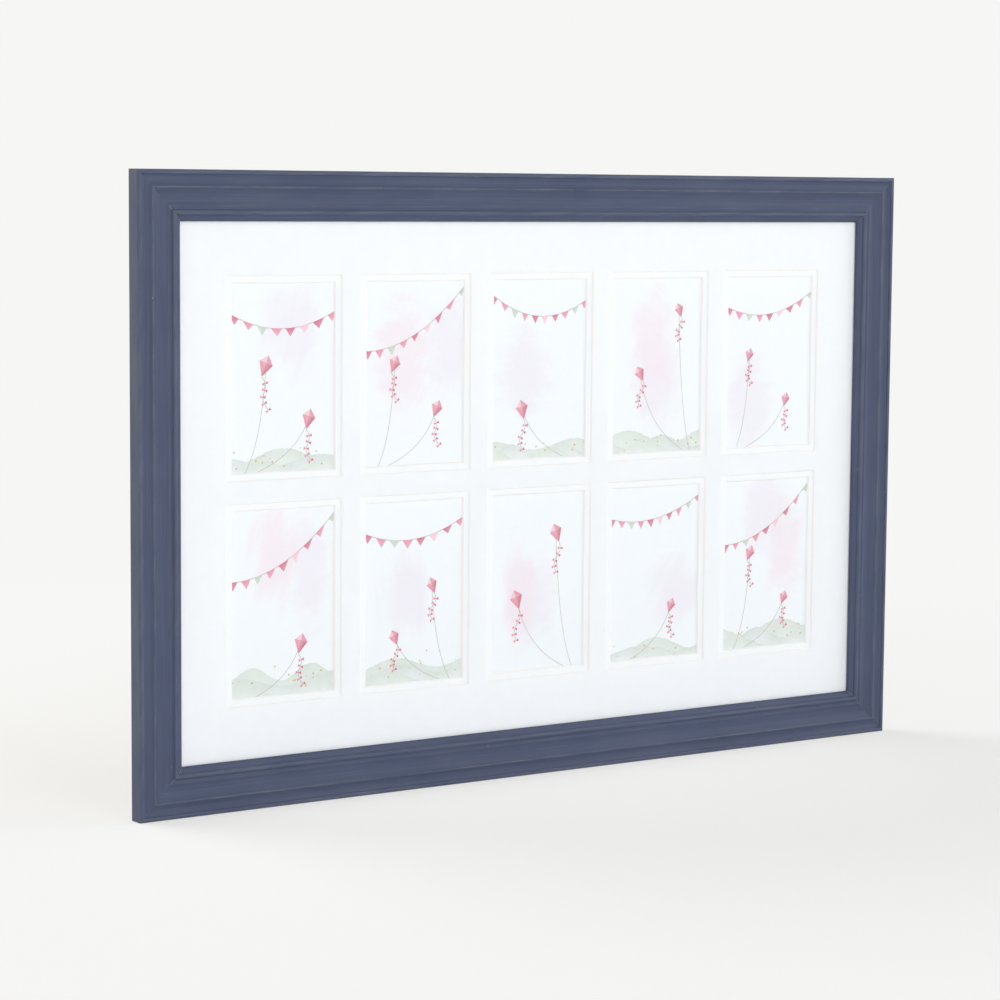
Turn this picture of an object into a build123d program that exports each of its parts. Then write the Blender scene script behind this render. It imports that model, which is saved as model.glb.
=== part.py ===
"""Collage photo frame: mitred moulding, glass, double mat, ten prints, backing board and hangers.

X runs along the frame, Y from its front to its back and Z up. The origin is at the middle of the
bottom edge. All sizes are in millimetres.
"""
import os
from math import atan2, degrees

from build123d import *

# Photos and the mat windows in front of them
columns = 5
rows = 2
photo_width = 101.6
photo_height = 152.4
photo_thickness = 0.25
photo_lap = 6.35
mat_reveal = 5.0
column_gap = 18.6
row_gap = 18.3
mat_margin = 40.2
mat_thickness = 1.1
bevel_angle = 45.0

# The rest of the package in the rabbet
glass_thickness = 2.0
glass_seam = 0.3
board_thickness = 3.0
board_recess = 0.05
package_clearance = 0.75

# Members of the moulding, in order from the outer edge to the sight edge
lip_width = 3.4
outer_cove_width = 8.4
ridge_width = 1.3
inner_cove_width = 12.4
fillet_width = 1.5
quirk_width = 1.6
bead_width = 4.5
slope_width = 4.3

# How far each member lies behind the front of the lip
lip_foot_drop = 0.95
outer_cove_sag = 1.3
ridge_drop = 0.1
ridge_round = 0.3
inner_cove_sag = 1.6
fillet_foot_drop = 2.2
fillet_drop = 2.0
quirk_drop = 2.25
bead_drop = 0.75
slope_top_drop = 2.7
sight_drop = 5.75
sight_lip = 0.9
slope_crown = 0.55

arris_radius = 1.5
lip_round = 0.8
back_chamfer = 0.6
rabbet_width = 6.0

# V-nails across the mitres
v_nail_insets = (10.0, 22.0)
v_nail_leg = 5.0
v_nail_spread = 32.0
v_nail_gauge = 0.6
v_nail_depth = 7.0

# Turn buttons and their screws: the outer ones keep a distance from the corners
top_button_end = 192.0
side_button_end = 161.5
button_setback = 9.0
button_reach = 19.0
button_head_radius = 6.5
button_tip_radius = 3.8
button_thickness = 1.0
button_float = 0.15
button_rib_length = 10.0
button_rib_width = 2.6
button_rib_height = 0.5
screw_radius = 1.6
screw_head_radius = 3.3
screw_head_height = 1.7
screw_head_rim = 0.5
screw_length = 8.5
screw_point = 3.0
pivot_clearance = 0.08
head_clearance = 0.15

# Hangers: a strap that curls round the straight bar of a D-ring
top_hanger_end = 112.0
side_hanger_end = 96.5
hanger_inset = 18.0
strap_width = 9.0
strap_thickness = 0.9
strap_screw_inset = 7.0
strap_end_margin = 1.7
strap_screw_clearance = 0.2
strap_corner = 3.5
loop_lift = 0.1
ring_wire_radius = 1.25
ring_clearance = 0.08
ring_corner = 3.0
ring_end_gap = 1.5
ring_tail_gap = 0.75

# Sizes that follow from the ones above
window_width = photo_width - 2 * photo_lap
window_height = photo_height - 2 * photo_lap
top_window_width = window_width + 2 * mat_reveal
top_window_height = window_height + 2 * mat_reveal
column_pitch = top_window_width + column_gap
row_pitch = top_window_height + row_gap
sight_width = columns * top_window_width + (columns - 1) * column_gap + 2 * mat_margin
sight_height = rows * top_window_height + (rows - 1) * row_gap + 2 * mat_margin

ridge_start = lip_width + outer_cove_width
ridge_end = ridge_start + ridge_width
fillet_start = ridge_end + inner_cove_width
fillet_end = fillet_start + fillet_width
bead_start = fillet_end + quirk_width
bead_end = bead_start + bead_width
face_width = bead_end + slope_width
rabbet_edge = face_width - rabbet_width

frame_width = sight_width + 2 * face_width
frame_height = sight_height + 2 * face_width
package_width = sight_width + 2 * (rabbet_width - package_clearance)
package_height = sight_height + 2 * (rabbet_width - package_clearance)

# Levels above the back of the rails
board_level = board_recess
photo_level = board_level + board_thickness
under_mat_level = photo_level + photo_thickness
top_mat_level = under_mat_level + mat_thickness
glass_level = top_mat_level + mat_thickness
rabbet_level = glass_level + glass_thickness
rail_depth = rabbet_level + sight_lip + sight_drop
half_depth = rail_depth / 2
middle = frame_height / 2

# The back of the frame, seen from behind, and layers that face the front
back = Plane(origin=(0, half_depth, middle), x_dir=(-1, 0, 0), z_dir=(0, 1, 0))


def layer(level):
    """Plane that faces the front of the frame, at a height above the back of the rails."""
    return Plane(origin=(0, half_depth - level, middle), x_dir=(1, 0, 0), z_dir=(0, -1, 0))


def save(piece, name):
    """Name a finished piece and write its file."""
    piece.label = name
    export_step(piece, f"parts/{name}.step")


# Each rail by name: the middle of its outer edge, its direction, its length and its inward side
half_width = frame_width / 2
rails = {
    "rail_bottom": ((0, 0, 0), (1, 0, 0), frame_width, Vector(0, 0, 1)),
    "rail_top": ((0, 0, frame_height), (-1, 0, 0), frame_width, Vector(0, 0, -1)),
    "rail_right": ((half_width, 0, middle), (0, 0, 1), frame_height, Vector(-1, 0, 0)),
    "rail_left": ((-half_width, 0, middle), (0, 0, -1), frame_height, Vector(1, 0, 0)),
}

# Where hardware sits along each rail, from its middle
top_button = half_width - top_button_end
side_button = middle - side_button_end
top_hanger = half_width - top_hanger_end
side_hanger = middle - side_hanger_end
button_places = {
    "rail_top": (-top_button, 0, top_button),
    "rail_bottom": (-top_button, 0, top_button),
    "rail_left": (-side_button, side_button),
    "rail_right": (-side_button, side_button),
}
hanger_places = {
    "rail_top": (-top_hanger, top_hanger),
    "rail_left": (-side_hanger, side_hanger),
}


def back_point(rail, along, inset):
    """Point on the back of a rail, a distance along it and in from its outer edge."""
    start, _, _, inward = rails[rail]
    sideways = Vector(1, 0, 0) if inward.X == 0 else Vector(0, 0, 1)
    return Vector(*start) + sideways * along + inward * inset + Vector(0, half_depth, 0)


def wood_screw(base, under_head):
    """Pan-head screw that enters the wood at base, with its head a distance above the wood."""
    crown = under_head + screw_head_height
    rim = under_head + screw_head_rim
    dome = screw_head_height - screw_head_rim
    dome_radius = (screw_head_radius**2 + dome**2) / (2 * dome)
    with BuildPart() as screw:
        with BuildSketch(Plane(origin=base, x_dir=(1, 0, 0), z_dir=(0, 0, 1))):
            with BuildLine():
                Polyline(
                    (0, crown),
                    (0, -screw_length),
                    (screw_radius, screw_point - screw_length),
                    (screw_radius, under_head),
                    (screw_head_radius, under_head),
                    (screw_head_radius, rim),
                )
                RadiusArc((screw_head_radius, rim), (0, crown), -dome_radius)
            make_face()
        revolve(axis=Axis(base, (0, 1, 0)))
    return screw.part


os.makedirs("parts", exist_ok=True)

# V-nails: two legs that meet on the mitre, driven in from the back
corners = [(x, z) for x in (-1, 1) for z in (-1, 1)]
with BuildPart() as v_nails:
    with BuildSketch(back):
        for side_x, side_z in corners:
            mitre_angle = degrees(atan2(-side_z, -side_x))
            for inset in v_nail_insets:
                apex = (side_x * (half_width - inset), side_z * (middle - inset))
                with Locations(apex):
                    for spread in (-v_nail_spread, v_nail_spread):
                        Rectangle(
                            v_nail_leg,
                            v_nail_gauge,
                            rotation=mitre_angle + spread,
                            align=(Align.MIN, Align.CENTER),
                        )
    extrude(amount=-v_nail_depth)
save(v_nails.part, "corner_v_nails")

# Screws of the turn buttons, then of the hangers
button_pivots = [
    (rail, back_point(rail, along, rabbet_edge - button_setback))
    for rail, places in button_places.items()
    for along in places
]
hanger_points = [
    (rail, along) for rail, places in hanger_places.items() for along in places
]
with BuildPart() as button_screws:
    for _, pivot in button_pivots:
        add(wood_screw(pivot, button_float + button_thickness + head_clearance))
save(button_screws.part, "turn_button_screws")

with BuildPart() as hanger_screws:
    for rail, along in hanger_points:
        add(wood_screw(back_point(rail, along, hanger_inset + strap_screw_inset), strap_thickness))
save(hanger_screws.part, "hanger_screws")

# Rails: one moulding, mitred at both ends, with seats for the nails and screws
def moulding_point(inset, drop):
    """Point of the moulding's section, in from the outer edge and behind the front of the lip."""
    return (drop - half_depth, inset)


def arc_between(start, end, bulge):
    """Arc from one section point to another that bulges to the front, or sags where negative."""
    middle_point = ((start[0] + end[0]) / 2 - bulge, (start[1] + end[1]) / 2)
    ThreePointArc(start, middle_point, end)


for name, (start, along, length, _) in rails.items():
    section = Plane(origin=start, x_dir=(0, 1, 0), z_dir=along)
    with BuildPart() as rail:
        with BuildSketch(section):
            with BuildLine():
                back_outer = moulding_point(back_chamfer, rail_depth)
                back_side = moulding_point(0, rail_depth - back_chamfer)
                arris_side = moulding_point(0, arris_radius)
                arris_top = moulding_point(arris_radius, 0)
                lip_top = moulding_point(lip_width - lip_round, 0)
                lip_side = moulding_point(lip_width, lip_round)
                lip_foot = moulding_point(lip_width, lip_foot_drop)
                ridge_outer = moulding_point(ridge_start, ridge_drop + ridge_round)
                ridge_inner = moulding_point(ridge_end, ridge_drop + ridge_round)
                fillet_foot = moulding_point(fillet_start, fillet_foot_drop)
                fillet_outer = moulding_point(fillet_start, fillet_drop)
                fillet_inner = moulding_point(fillet_end, fillet_drop)
                quirk_outer = moulding_point(fillet_end, quirk_drop)
                quirk_inner = moulding_point(bead_start, quirk_drop)
                slope_top = moulding_point(bead_end, slope_top_drop)
                sight_edge = moulding_point(face_width, sight_drop)
                rabbet_lip = moulding_point(face_width, rail_depth - rabbet_level)
                rabbet_floor = moulding_point(rabbet_edge, rail_depth - rabbet_level)
                rabbet_foot = moulding_point(rabbet_edge, rail_depth)
                bead_middle_drop = (quirk_drop + slope_top_drop) / 2
                Polyline(back_outer, back_side, arris_side)
                RadiusArc(arris_side, arris_top, arris_radius)
                Line(arris_top, lip_top)
                RadiusArc(lip_top, lip_side, lip_round)
                Line(lip_side, lip_foot)
                arc_between(lip_foot, ridge_outer, -outer_cove_sag)
                arc_between(ridge_outer, ridge_inner, ridge_round)
                arc_between(ridge_inner, fillet_foot, -inner_cove_sag)
                Polyline(fillet_foot, fillet_outer, fillet_inner, quirk_outer, quirk_inner)
                arc_between(quirk_inner, slope_top, bead_middle_drop - bead_drop)
                arc_between(slope_top, sight_edge, slope_crown)
                Polyline(sight_edge, rabbet_lip, rabbet_floor, rabbet_foot, back_outer)
            make_face()
        extrude(amount=length / 2, both=True)
        for end in (-1, 1):
            mitre = Plane(
                origin=section.from_local_coords((0, 0, end * length / 2)),
                z_dir=section.y_dir + section.z_dir * end,
            )
            split(bisect_by=mitre, keep=Keep.BOTTOM)
        add(v_nails.part, mode=Mode.SUBTRACT)
        add(button_screws.part, mode=Mode.SUBTRACT)
        add(hanger_screws.part, mode=Mode.SUBTRACT)
    save(rail.part, name)

# Glass, with its sharp edges seamed
with BuildPart() as glass:
    with BuildSketch(layer(glass_level)):
        Rectangle(package_width, package_height)
    extrude(amount=glass_thickness)
    chamfer(glass.edges().filter_by(Axis.Y, reverse=True), length=glass_seam)
save(glass.part, "glass_pane")

# Mats: each window widens to the front with a bevelled edge
mats = {
    "top_mat": (top_mat_level, top_window_width, top_window_height),
    "under_mat": (under_mat_level, window_width, window_height),
}
for name, (level, width, height) in mats.items():
    with BuildPart() as mat:
        with BuildSketch(layer(level)):
            Rectangle(package_width, package_height)
        extrude(amount=mat_thickness)
        with BuildSketch(layer(level)):
            with GridLocations(column_pitch, row_pitch, columns, rows):
                Rectangle(width, height)
        extrude(amount=mat_thickness, taper=-bevel_angle, mode=Mode.SUBTRACT)
    save(mat.part, name)

# Prints, one behind each window, counted from the top left as seen from the front
for row in range(rows):
    for column in range(columns):
        place = (
            (column - (columns - 1) / 2) * column_pitch,
            ((rows - 1) / 2 - row) * row_pitch,
        )
        with BuildPart() as photo:
            with BuildSketch(layer(photo_level)):
                with Locations(place):
                    Rectangle(photo_width, photo_height)
            extrude(amount=photo_thickness)
        save(photo.part, f"photo_row{row + 1}_{column + 1}")

# Backing board
with BuildPart() as board:
    with BuildSketch(layer(board_level)):
        Rectangle(package_width, package_height)
    extrude(amount=board_thickness)
save(board.part, "backing_board")

# Turn buttons: stamped tear-drop plates with a pressed rib, over the edge of the board
for number, (rail, pivot) in enumerate(button_pivots, start=1):
    inward = rails[rail][3]
    plate = Plane(origin=pivot, x_dir=inward, z_dir=(0, 1, 0)).offset(button_float)
    with BuildPart() as button:
        with BuildSketch(plate):
            Circle(button_head_radius)
            with Locations((button_reach - button_tip_radius, 0)):
                Circle(button_tip_radius)
            make_hull()
            Circle(screw_radius + pivot_clearance, mode=Mode.SUBTRACT)
        extrude(amount=button_thickness)
        with BuildSketch(plate.offset(button_thickness)):
            rib_start = screw_head_radius + button_rib_width / 2
            with Locations((rib_start + button_rib_length / 2, 0)):
                SlotOverall(button_rib_length, button_rib_width)
        extrude(amount=button_rib_height)
    save(button.part, f"turn_button_{number}")

# Hangers: each strap curls into a loop, and the ring's bar lies in it
loop_bore = ring_wire_radius + ring_clearance
loop_radius = loop_bore + strap_thickness
loop_height = loop_lift + loop_radius
strap_tail = strap_screw_inset + screw_head_radius + strap_end_margin
ring_bar = strap_width / 2 + ring_end_gap
ring_half_width = ring_bar + ring_corner
ring_length = strap_tail + ring_tail_gap + ring_wire_radius
ring_shoulder = ring_length - ring_half_width

for number, (rail, along) in enumerate(hanger_points, start=1):
    base = back_point(rail, along, hanger_inset)
    outward = -rails[rail][3]
    normal = Vector(0, 1, 0)
    hinge = normal.cross(outward)
    side = Plane(origin=base, x_dir=outward, z_dir=outward.cross(normal))
    flat = Plane(origin=base, x_dir=hinge, z_dir=normal)

    with BuildPart() as strap:
        with BuildSketch(side):
            with Locations((0, loop_height)):
                Circle(loop_radius)
            Rectangle(strap_tail, strap_thickness, align=(Align.MAX, Align.MIN))
            with Locations((0, loop_height)):
                Circle(loop_bore, mode=Mode.SUBTRACT)
        extrude(amount=strap_width / 2, both=True)
        tail_end = strap.faces().sort_by(Axis(base, outward))[0]
        fillet(tail_end.edges().filter_by(Axis.Y), radius=strap_corner)
        with BuildSketch(flat):
            with Locations((0, strap_screw_inset)):
                Circle(screw_radius + strap_screw_clearance)
        extrude(amount=strap_thickness, mode=Mode.SUBTRACT)
    save(strap.part, f"hanger_strap_{number}")

    with BuildPart() as ring:
        with BuildLine(flat.offset(loop_height)) as ring_path:
            bar_left = (-ring_bar, 0)
            bar_right = (ring_bar, 0)
            leg_right = (ring_half_width, ring_corner)
            leg_left = (-ring_half_width, ring_corner)
            shoulder_right = (ring_half_width, ring_shoulder)
            shoulder_left = (-ring_half_width, ring_shoulder)
            Line(bar_left, bar_right)
            RadiusArc(bar_right, leg_right, -ring_corner)
            Line(leg_right, shoulder_right)
            ThreePointArc(shoulder_right, (0, ring_length), shoulder_left)
            Line(shoulder_left, leg_left)
            RadiusArc(leg_left, bar_left, -ring_corner)
        path = ring_path.wire()
        with BuildSketch(Plane(origin=path @ 0, z_dir=path % 0)):
            Circle(ring_wire_radius)
        sweep(path=path)
    save(ring.part, f"hanger_ring_{number}")

print(f"frame {frame_width:.1f} x {frame_height:.1f} x {rail_depth:.2f} mm")
print(f"face {face_width:.1f} mm, sight {sight_width:.1f} x {sight_height:.1f} mm")
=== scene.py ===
"""Looks of the collage photo frame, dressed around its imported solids.

Sizes are in millimetres in the frame's own axes: X along the frame, Y from front to back and Z up.
Meshes are written in metres.
"""

import logging
import math
from collections.abc import Callable, Sequence
from dataclasses import dataclass
from enum import Enum, IntEnum
from typing import Any

import bmesh
import bpy
import numpy as np
from bpy.types import Material, Mesh, Node, NodeSocket, Object
from mathutils import Matrix, Vector


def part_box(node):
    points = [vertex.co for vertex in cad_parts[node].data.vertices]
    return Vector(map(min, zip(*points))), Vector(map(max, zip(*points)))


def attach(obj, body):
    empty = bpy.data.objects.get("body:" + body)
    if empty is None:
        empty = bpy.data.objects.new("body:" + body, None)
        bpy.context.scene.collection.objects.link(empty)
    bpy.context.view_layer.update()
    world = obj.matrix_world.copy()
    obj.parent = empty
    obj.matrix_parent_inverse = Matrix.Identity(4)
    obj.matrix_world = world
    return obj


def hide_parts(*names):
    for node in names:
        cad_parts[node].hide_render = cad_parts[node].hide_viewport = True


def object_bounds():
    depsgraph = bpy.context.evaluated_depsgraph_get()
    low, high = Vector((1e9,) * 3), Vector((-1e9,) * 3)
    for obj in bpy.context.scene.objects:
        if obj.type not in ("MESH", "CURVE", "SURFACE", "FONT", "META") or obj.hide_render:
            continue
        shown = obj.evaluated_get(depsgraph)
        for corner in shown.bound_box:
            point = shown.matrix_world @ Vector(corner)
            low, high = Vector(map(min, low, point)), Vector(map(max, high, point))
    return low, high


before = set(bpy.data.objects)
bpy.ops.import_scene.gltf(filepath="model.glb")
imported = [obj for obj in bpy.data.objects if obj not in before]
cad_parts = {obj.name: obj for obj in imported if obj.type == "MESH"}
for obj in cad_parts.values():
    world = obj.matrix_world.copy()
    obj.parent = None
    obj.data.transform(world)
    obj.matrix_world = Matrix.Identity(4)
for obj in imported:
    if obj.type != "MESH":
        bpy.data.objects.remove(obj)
CAD_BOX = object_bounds()

Array = np.ndarray
Triple = tuple[float, float, float]
Colour = tuple[float, float, float, float]

LOG = logging.getLogger("collage_frame")
MM = 0.001
FULL_TURN = 2.0 * math.pi
BODY = "frame"
ROWS = 2
COLUMNS = 5
BUTTONS = 10
HANGERS = 4
MERGE_DISTANCE = 2e-7
GRAIN_UNIT = 100.0
Y_AXIS = np.array([0.0, 1.0, 0.0])
SEEN_RAYS = ("Is Camera Ray", "Is Glossy Ray", "Is Transmission Ray")
LIGHT_RAYS = ("Is Shadow Ray", "Is Diffuse Ray")


def linear(red: float, green: float, blue: float) -> Colour:
    """Turn display values of 0 to 255 into scene light by the sRGB curve, with an alpha of 1."""
    share = np.array([red, green, blue]) / 255.0
    return (*np.where(share <= 0.04045, share / 12.92, ((share + 0.055) / 1.055) ** 2.4).tolist(), 1.0)


def smooth_step(low: float, high: float, value: Array) -> Array:
    """Rise from 0 at low to 1 at high on the curve 3t^2 - 2t^3."""
    share = np.clip((value - low) / (high - low), 0.0, 1.0)
    return share * share * (3.0 - 2.0 * share)


def drift(rng: np.random.Generator, across: Array, along: Array, span: float) -> Array:
    """Smooth wandering value of two places: a sum of five cosine waves of random phase and direction.

    Args:
        rng: Source of the phases.
        across: First coordinate, any shape.
        along: Second coordinate, of a shape that fits the first.
        span: Length of the longest wave, in the coordinates' unit.

    Returns:
        Values of about -1 to 1 in the joint shape.
    """
    shares = 0.75 ** np.arange(5)
    total = np.zeros(np.broadcast(across, along).shape)
    for octave, (turn, phase) in enumerate(rng.uniform(0.0, FULL_TURN, (len(shares), 2))):
        reach = FULL_TURN / span * 1.7**octave
        total += shares[octave] * np.cos(reach * (across * math.cos(turn) + along * math.sin(turn)) + phase)
    return total / (0.6 * shares.sum())


def join(*columns: Array) -> Array:
    """Put values side by side, as the last axis of one array."""
    return np.stack(np.broadcast_arrays(*columns), axis=-1)


def unit(ways: Array) -> Array:
    """Turn ways, with their coordinates on the last axis, into ways of length 1."""
    return ways / np.linalg.norm(ways, axis=-1, keepdims=True)


def left_of(ways: Array) -> Array:
    """Ways of length 1, a quarter turn to the left of others in a plane."""
    return unit(join(-ways[..., 1], ways[..., 0]))


def around(amount: int) -> Array:
    """Angles at equal steps round a full turn."""
    return np.linspace(0.0, FULL_TURN, amount, endpoint=False)


def circle(turn: Array) -> Array:
    """Points of the unit circle at some angles."""
    return join(np.cos(turn), np.sin(turn))


def rim(face: Array) -> Array:
    """Values round the outside of a grid, in order."""
    return np.concatenate([face[0, :-1], face[:-1, -1], face[-1, :0:-1], face[:0:-1, 0]])


def girth_along(path: Array) -> Array:
    """Distance walked at each row of a path, whose first two columns are places."""
    return np.append(0.0, np.cumsum(np.hypot(*np.diff(path[:, :2], axis=0).T)))


def evenly(path: Array, amount: int) -> Array:
    """Rows of a path at equal distances, without its end."""
    girth = girth_along(path)
    where = np.linspace(0.0, girth[-1], amount, endpoint=False)
    return np.stack([np.interp(where, girth, column) for column in path.T], axis=-1)


def laid(origin: Array, ways: Sequence[Array], *distances: Array) -> Array:
    """Places at some distances from an origin along three ways."""
    return origin + join(*distances) @ np.stack(ways)


def arc(start: Array, end: Array, bulge: float, step: float) -> Array:
    """Points of a straight line or a circular arc, without its end.

    The circle has the chord c and the sagitta b, so its radius is (c^2 / 4 + b^2) / 2b. A bulge above 0
    lies to the right of the way from start to end.

    Args:
        start: First point of the chord.
        end: Last point of the chord.
        bulge: Sagitta, 0 for a straight line.
        step: Distance between points.

    Returns:
        Points of shape (amount, 2).
    """
    chord = end - start
    length = math.dist(start, end)
    if bulge == 0.0:
        return np.linspace(start, end, max(2, int(length / step)), endpoint=False)
    radius = (length**2 / 4.0 + bulge**2) / (2.0 * abs(bulge))
    half = math.asin(length / 2.0 / radius)
    turn = np.linspace(-half, half, max(6, int(2.0 * half * radius / step)), endpoint=False)[:, None]
    right = np.array([chord[1], -chord[0]]) / length * math.copysign(1.0, bulge)
    rise = radius * (np.cos(turn) - math.cos(half))
    return (start + end) / 2.0 + chord / length * radius * np.sin(turn) + right * rise


def add_object(name: str, data: Any) -> Object:
    """Put a new object into the scene."""
    item = bpy.data.objects.new(name, data)
    bpy.context.scene.collection.objects.link(item)
    return item


def dress(piece: Object, material: Material) -> None:
    """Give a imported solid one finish."""
    piece.data.materials.clear()
    piece.data.materials.append(material)
    LOG.info("%s: packed solid in %s", piece.name, material.name)


@dataclass(frozen=True)
class Block:
    """Lowest and highest corner of a solid, in millimetres."""

    low: Array
    high: Array

    @classmethod
    def of(cls, node: str) -> "Block":
        """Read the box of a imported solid."""
        low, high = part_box(node)
        return cls(np.array(low) / MM, np.array(high) / MM)

    @property
    def centre(self) -> Array:
        """Middle of the box."""
        return (self.low + self.high) / 2.0

    @property
    def size(self) -> Array:
        """Width, depth and height of the box."""
        return self.high - self.low

    def span(self, way: Array) -> float:
        """Extent of the box along one of the axes."""
        return float(self.size @ np.abs(way))

    def start(self, way: Array) -> Array:
        """Middle of the side where a walk along one of the axes enters the box."""
        return self.centre - way * self.span(way) / 2.0


class Side(Enum):
    """The four rails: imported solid, the way each runs and the way in from its outer edge."""

    BOTTOM = ("rail_bottom", (1.0, 0.0, 0.0), (0.0, 0.0, 1.0))
    TOP = ("rail_top", (-1.0, 0.0, 0.0), (0.0, 0.0, -1.0))
    RIGHT = ("rail_right", (0.0, 0.0, 1.0), (-1.0, 0.0, 0.0))
    LEFT = ("rail_left", (0.0, 0.0, -1.0), (1.0, 0.0, 0.0))

    def __init__(self, node: str, along: Triple, inward: Triple) -> None:
        """Keep the name and both ways."""
        self.node = node
        self.along = np.array(along)
        self.inward = np.array(inward)

    @property
    def outer_edge(self) -> Array:
        """Middle of the rail's outer edge, at the front of the lip."""
        block = Block.of(self.node)
        edge = block.start(self.inward)
        edge[1] = block.low[1]
        return edge

    @classmethod
    def nearest(cls, point: Array) -> "Side":
        """Rail whose outer edge lies nearest to a point."""
        return min(cls, key=lambda side: float((point - side.outer_edge) @ side.inward))


class Shell:
    """Points and faces of one piece, gathered patch by patch before they become a mesh."""

    def __init__(self) -> None:
        """Start with no points."""
        self.points: list[Array] = []
        self.faces: list[Array] = []
        self.finishes: list[Array] = []
        self.values: dict[str, list[Array]] = {}
        self.count = 0

    def store(self, points: Array, faces: Array, finish: int | Array, values: dict[str, Array]) -> None:
        """Keep a patch.

        Args:
            points: Places, with 3 as the last size.
            faces: Numbers of the points, of shape (faces, corners).
            finish: Number of the finish, one for all or one per face.
            values: Named values at the points.
        """
        amount = points.size // 3
        self.points.append(points.reshape(-1, 3))
        self.faces.append(faces)
        self.finishes.append(np.broadcast_to(finish, len(faces)))
        for name, value in values.items():
            self.values.setdefault(name, []).append(value.reshape(amount, -1))
        self.count += amount

    def grid(
        self,
        points: Array,
        finish: int | Array = 0,
        keep: Array | bool = True,
        wrap: tuple[int, int] = (0, 0),
        **values: Array,
    ) -> Array:
        """Add a grid of points and the quads between its neighbours.

        Args:
            points: Places, of shape (rows, columns, 3).
            finish: Number of the finish, of a shape that fits the faces.
            keep: Which faces stay.
            wrap: 1 where the last row joins the first, and where the last column joins the first.
            **values: Named values at the points.

        Returns:
            Numbers of the points, of shape (rows, columns).
        """
        numbers = self.count + np.arange(points.size // 3).reshape(points.shape[:2])
        ring = np.pad(numbers, ((0, wrap[0]), (0, wrap[1])), mode="wrap")
        quads = join(ring[:-1, :-1], ring[:-1, 1:], ring[1:, 1:], ring[1:, :-1])
        chosen = np.broadcast_to(keep, quads.shape[:2])
        self.store(points, quads[chosen], np.broadcast_to(finish, quads.shape[:2])[chosen], values)
        return numbers

    def cap(self, loops: Array, finish: int = 0) -> None:
        """Add faces through points that are there already, one for each row of numbers."""
        self.store(np.empty((0, 3)), loops, finish, {})

    def band(self, front: Array, back: Array, finish: int = 0, **values: Array) -> None:
        """Join two grids round their outside, where both have the same values."""
        edge = {name: np.stack([rim(value)] * 2) for name, value in values.items()}
        self.grid(np.stack([rim(front), rim(back)]), finish, wrap=(0, 1), **edge)

    def slab(self, front: Array, back: Array, **values: Array) -> None:
        """Add a closed plate: a grid, the same grid behind it and the rim between them.

        Args:
            front: Places, of shape (rows, columns, 3).
            back: Places behind them, of the same shape.
            **values: Named values at the places.
        """
        self.grid(front, **values)
        self.grid(back, **values)
        self.band(front, back, **values)

    def plates(self, front: Array, back: Array, **values: Array) -> None:
        """Add separate closed plates of any number of sides.

        Args:
            front: Places, of shape (plates, corners, 3).
            back: Places behind them, of the same shape.
            **values: Named values at the places.
        """
        first = self.count + np.arange(front.size // 3).reshape(front.shape[:2])
        second = first + first.size
        walls = join(first, second, np.roll(second, -1, axis=1), np.roll(first, -1, axis=1))
        doubled = {name: np.stack([value, value]) for name, value in values.items()}
        self.store(np.stack([front, back]), np.concatenate([first, second]), 0, doubled)
        self.cap(walls.reshape(-1, 4))

    def mesh(self, name: str, closed: bool, sharp_angle: float) -> Mesh:
        """Write the gathered patches into a new mesh.

        Args:
            name: Name of the mesh.
            closed: Whether the patches join into closed walls, whose faces are then turned outwards.
            sharp_angle: Angle between faces, in degrees, past which an edge stays crisp.

        Returns:
            The mesh, in metres.
        """
        points = np.concatenate(self.points) * MM
        corners = np.concatenate([face.ravel() for face in self.faces]).astype(np.int32)
        sides = np.concatenate([np.full(len(face), face.shape[1], np.int32) for face in self.faces])
        mesh = bpy.data.meshes.new(name)
        mesh.vertices.add(len(points))
        mesh.vertices.foreach_set("co", points.astype(np.float32).ravel())
        mesh.loops.add(len(corners))
        mesh.loops.foreach_set("vertex_index", corners)
        mesh.polygons.add(len(sides))
        mesh.polygons.foreach_set("loop_start", np.cumsum(sides, dtype=np.int32) - sides)
        mesh.polygons.foreach_set("material_index", np.concatenate(self.finishes).astype(np.int32))
        mesh.update(calc_edges=True)
        self._write_values(mesh, corners)
        self._join(mesh, closed)
        mesh.shade_smooth()
        mesh.set_sharp_from_angle(angle=math.radians(sharp_angle))
        return mesh

    def _write_values(self, mesh: Mesh, corners: Array) -> None:
        """Write the values at the points: single ones, pairs as a map for textures, fours as colours."""
        for name, parts in self.values.items():
            value = np.concatenate(parts).astype(np.float32)
            if value.shape[1] == 2:
                layer = mesh.uv_layers.new(name=name, do_init=False)
                layer.data.foreach_set("uv", value[corners].ravel())
            elif value.shape[1] == 1:
                mesh.attributes.new(name, "FLOAT", "POINT").data.foreach_set("value", value.ravel())
            else:
                mesh.attributes.new(name, "FLOAT_COLOR", "POINT").data.foreach_set("color", value.ravel())

    @staticmethod
    def _join(mesh: Mesh, closed: bool) -> None:
        """Merge points that lie together and turn the faces of closed walls outwards."""
        work = bmesh.new()
        work.from_mesh(mesh)
        bmesh.ops.remove_doubles(work, verts=work.verts, dist=MERGE_DISTANCE)
        bmesh.ops.dissolve_degenerate(work, edges=work.edges, dist=MERGE_DISTANCE)
        if closed:
            bmesh.ops.recalc_face_normals(work, faces=work.faces)
        work.to_mesh(mesh)
        work.free()

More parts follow.
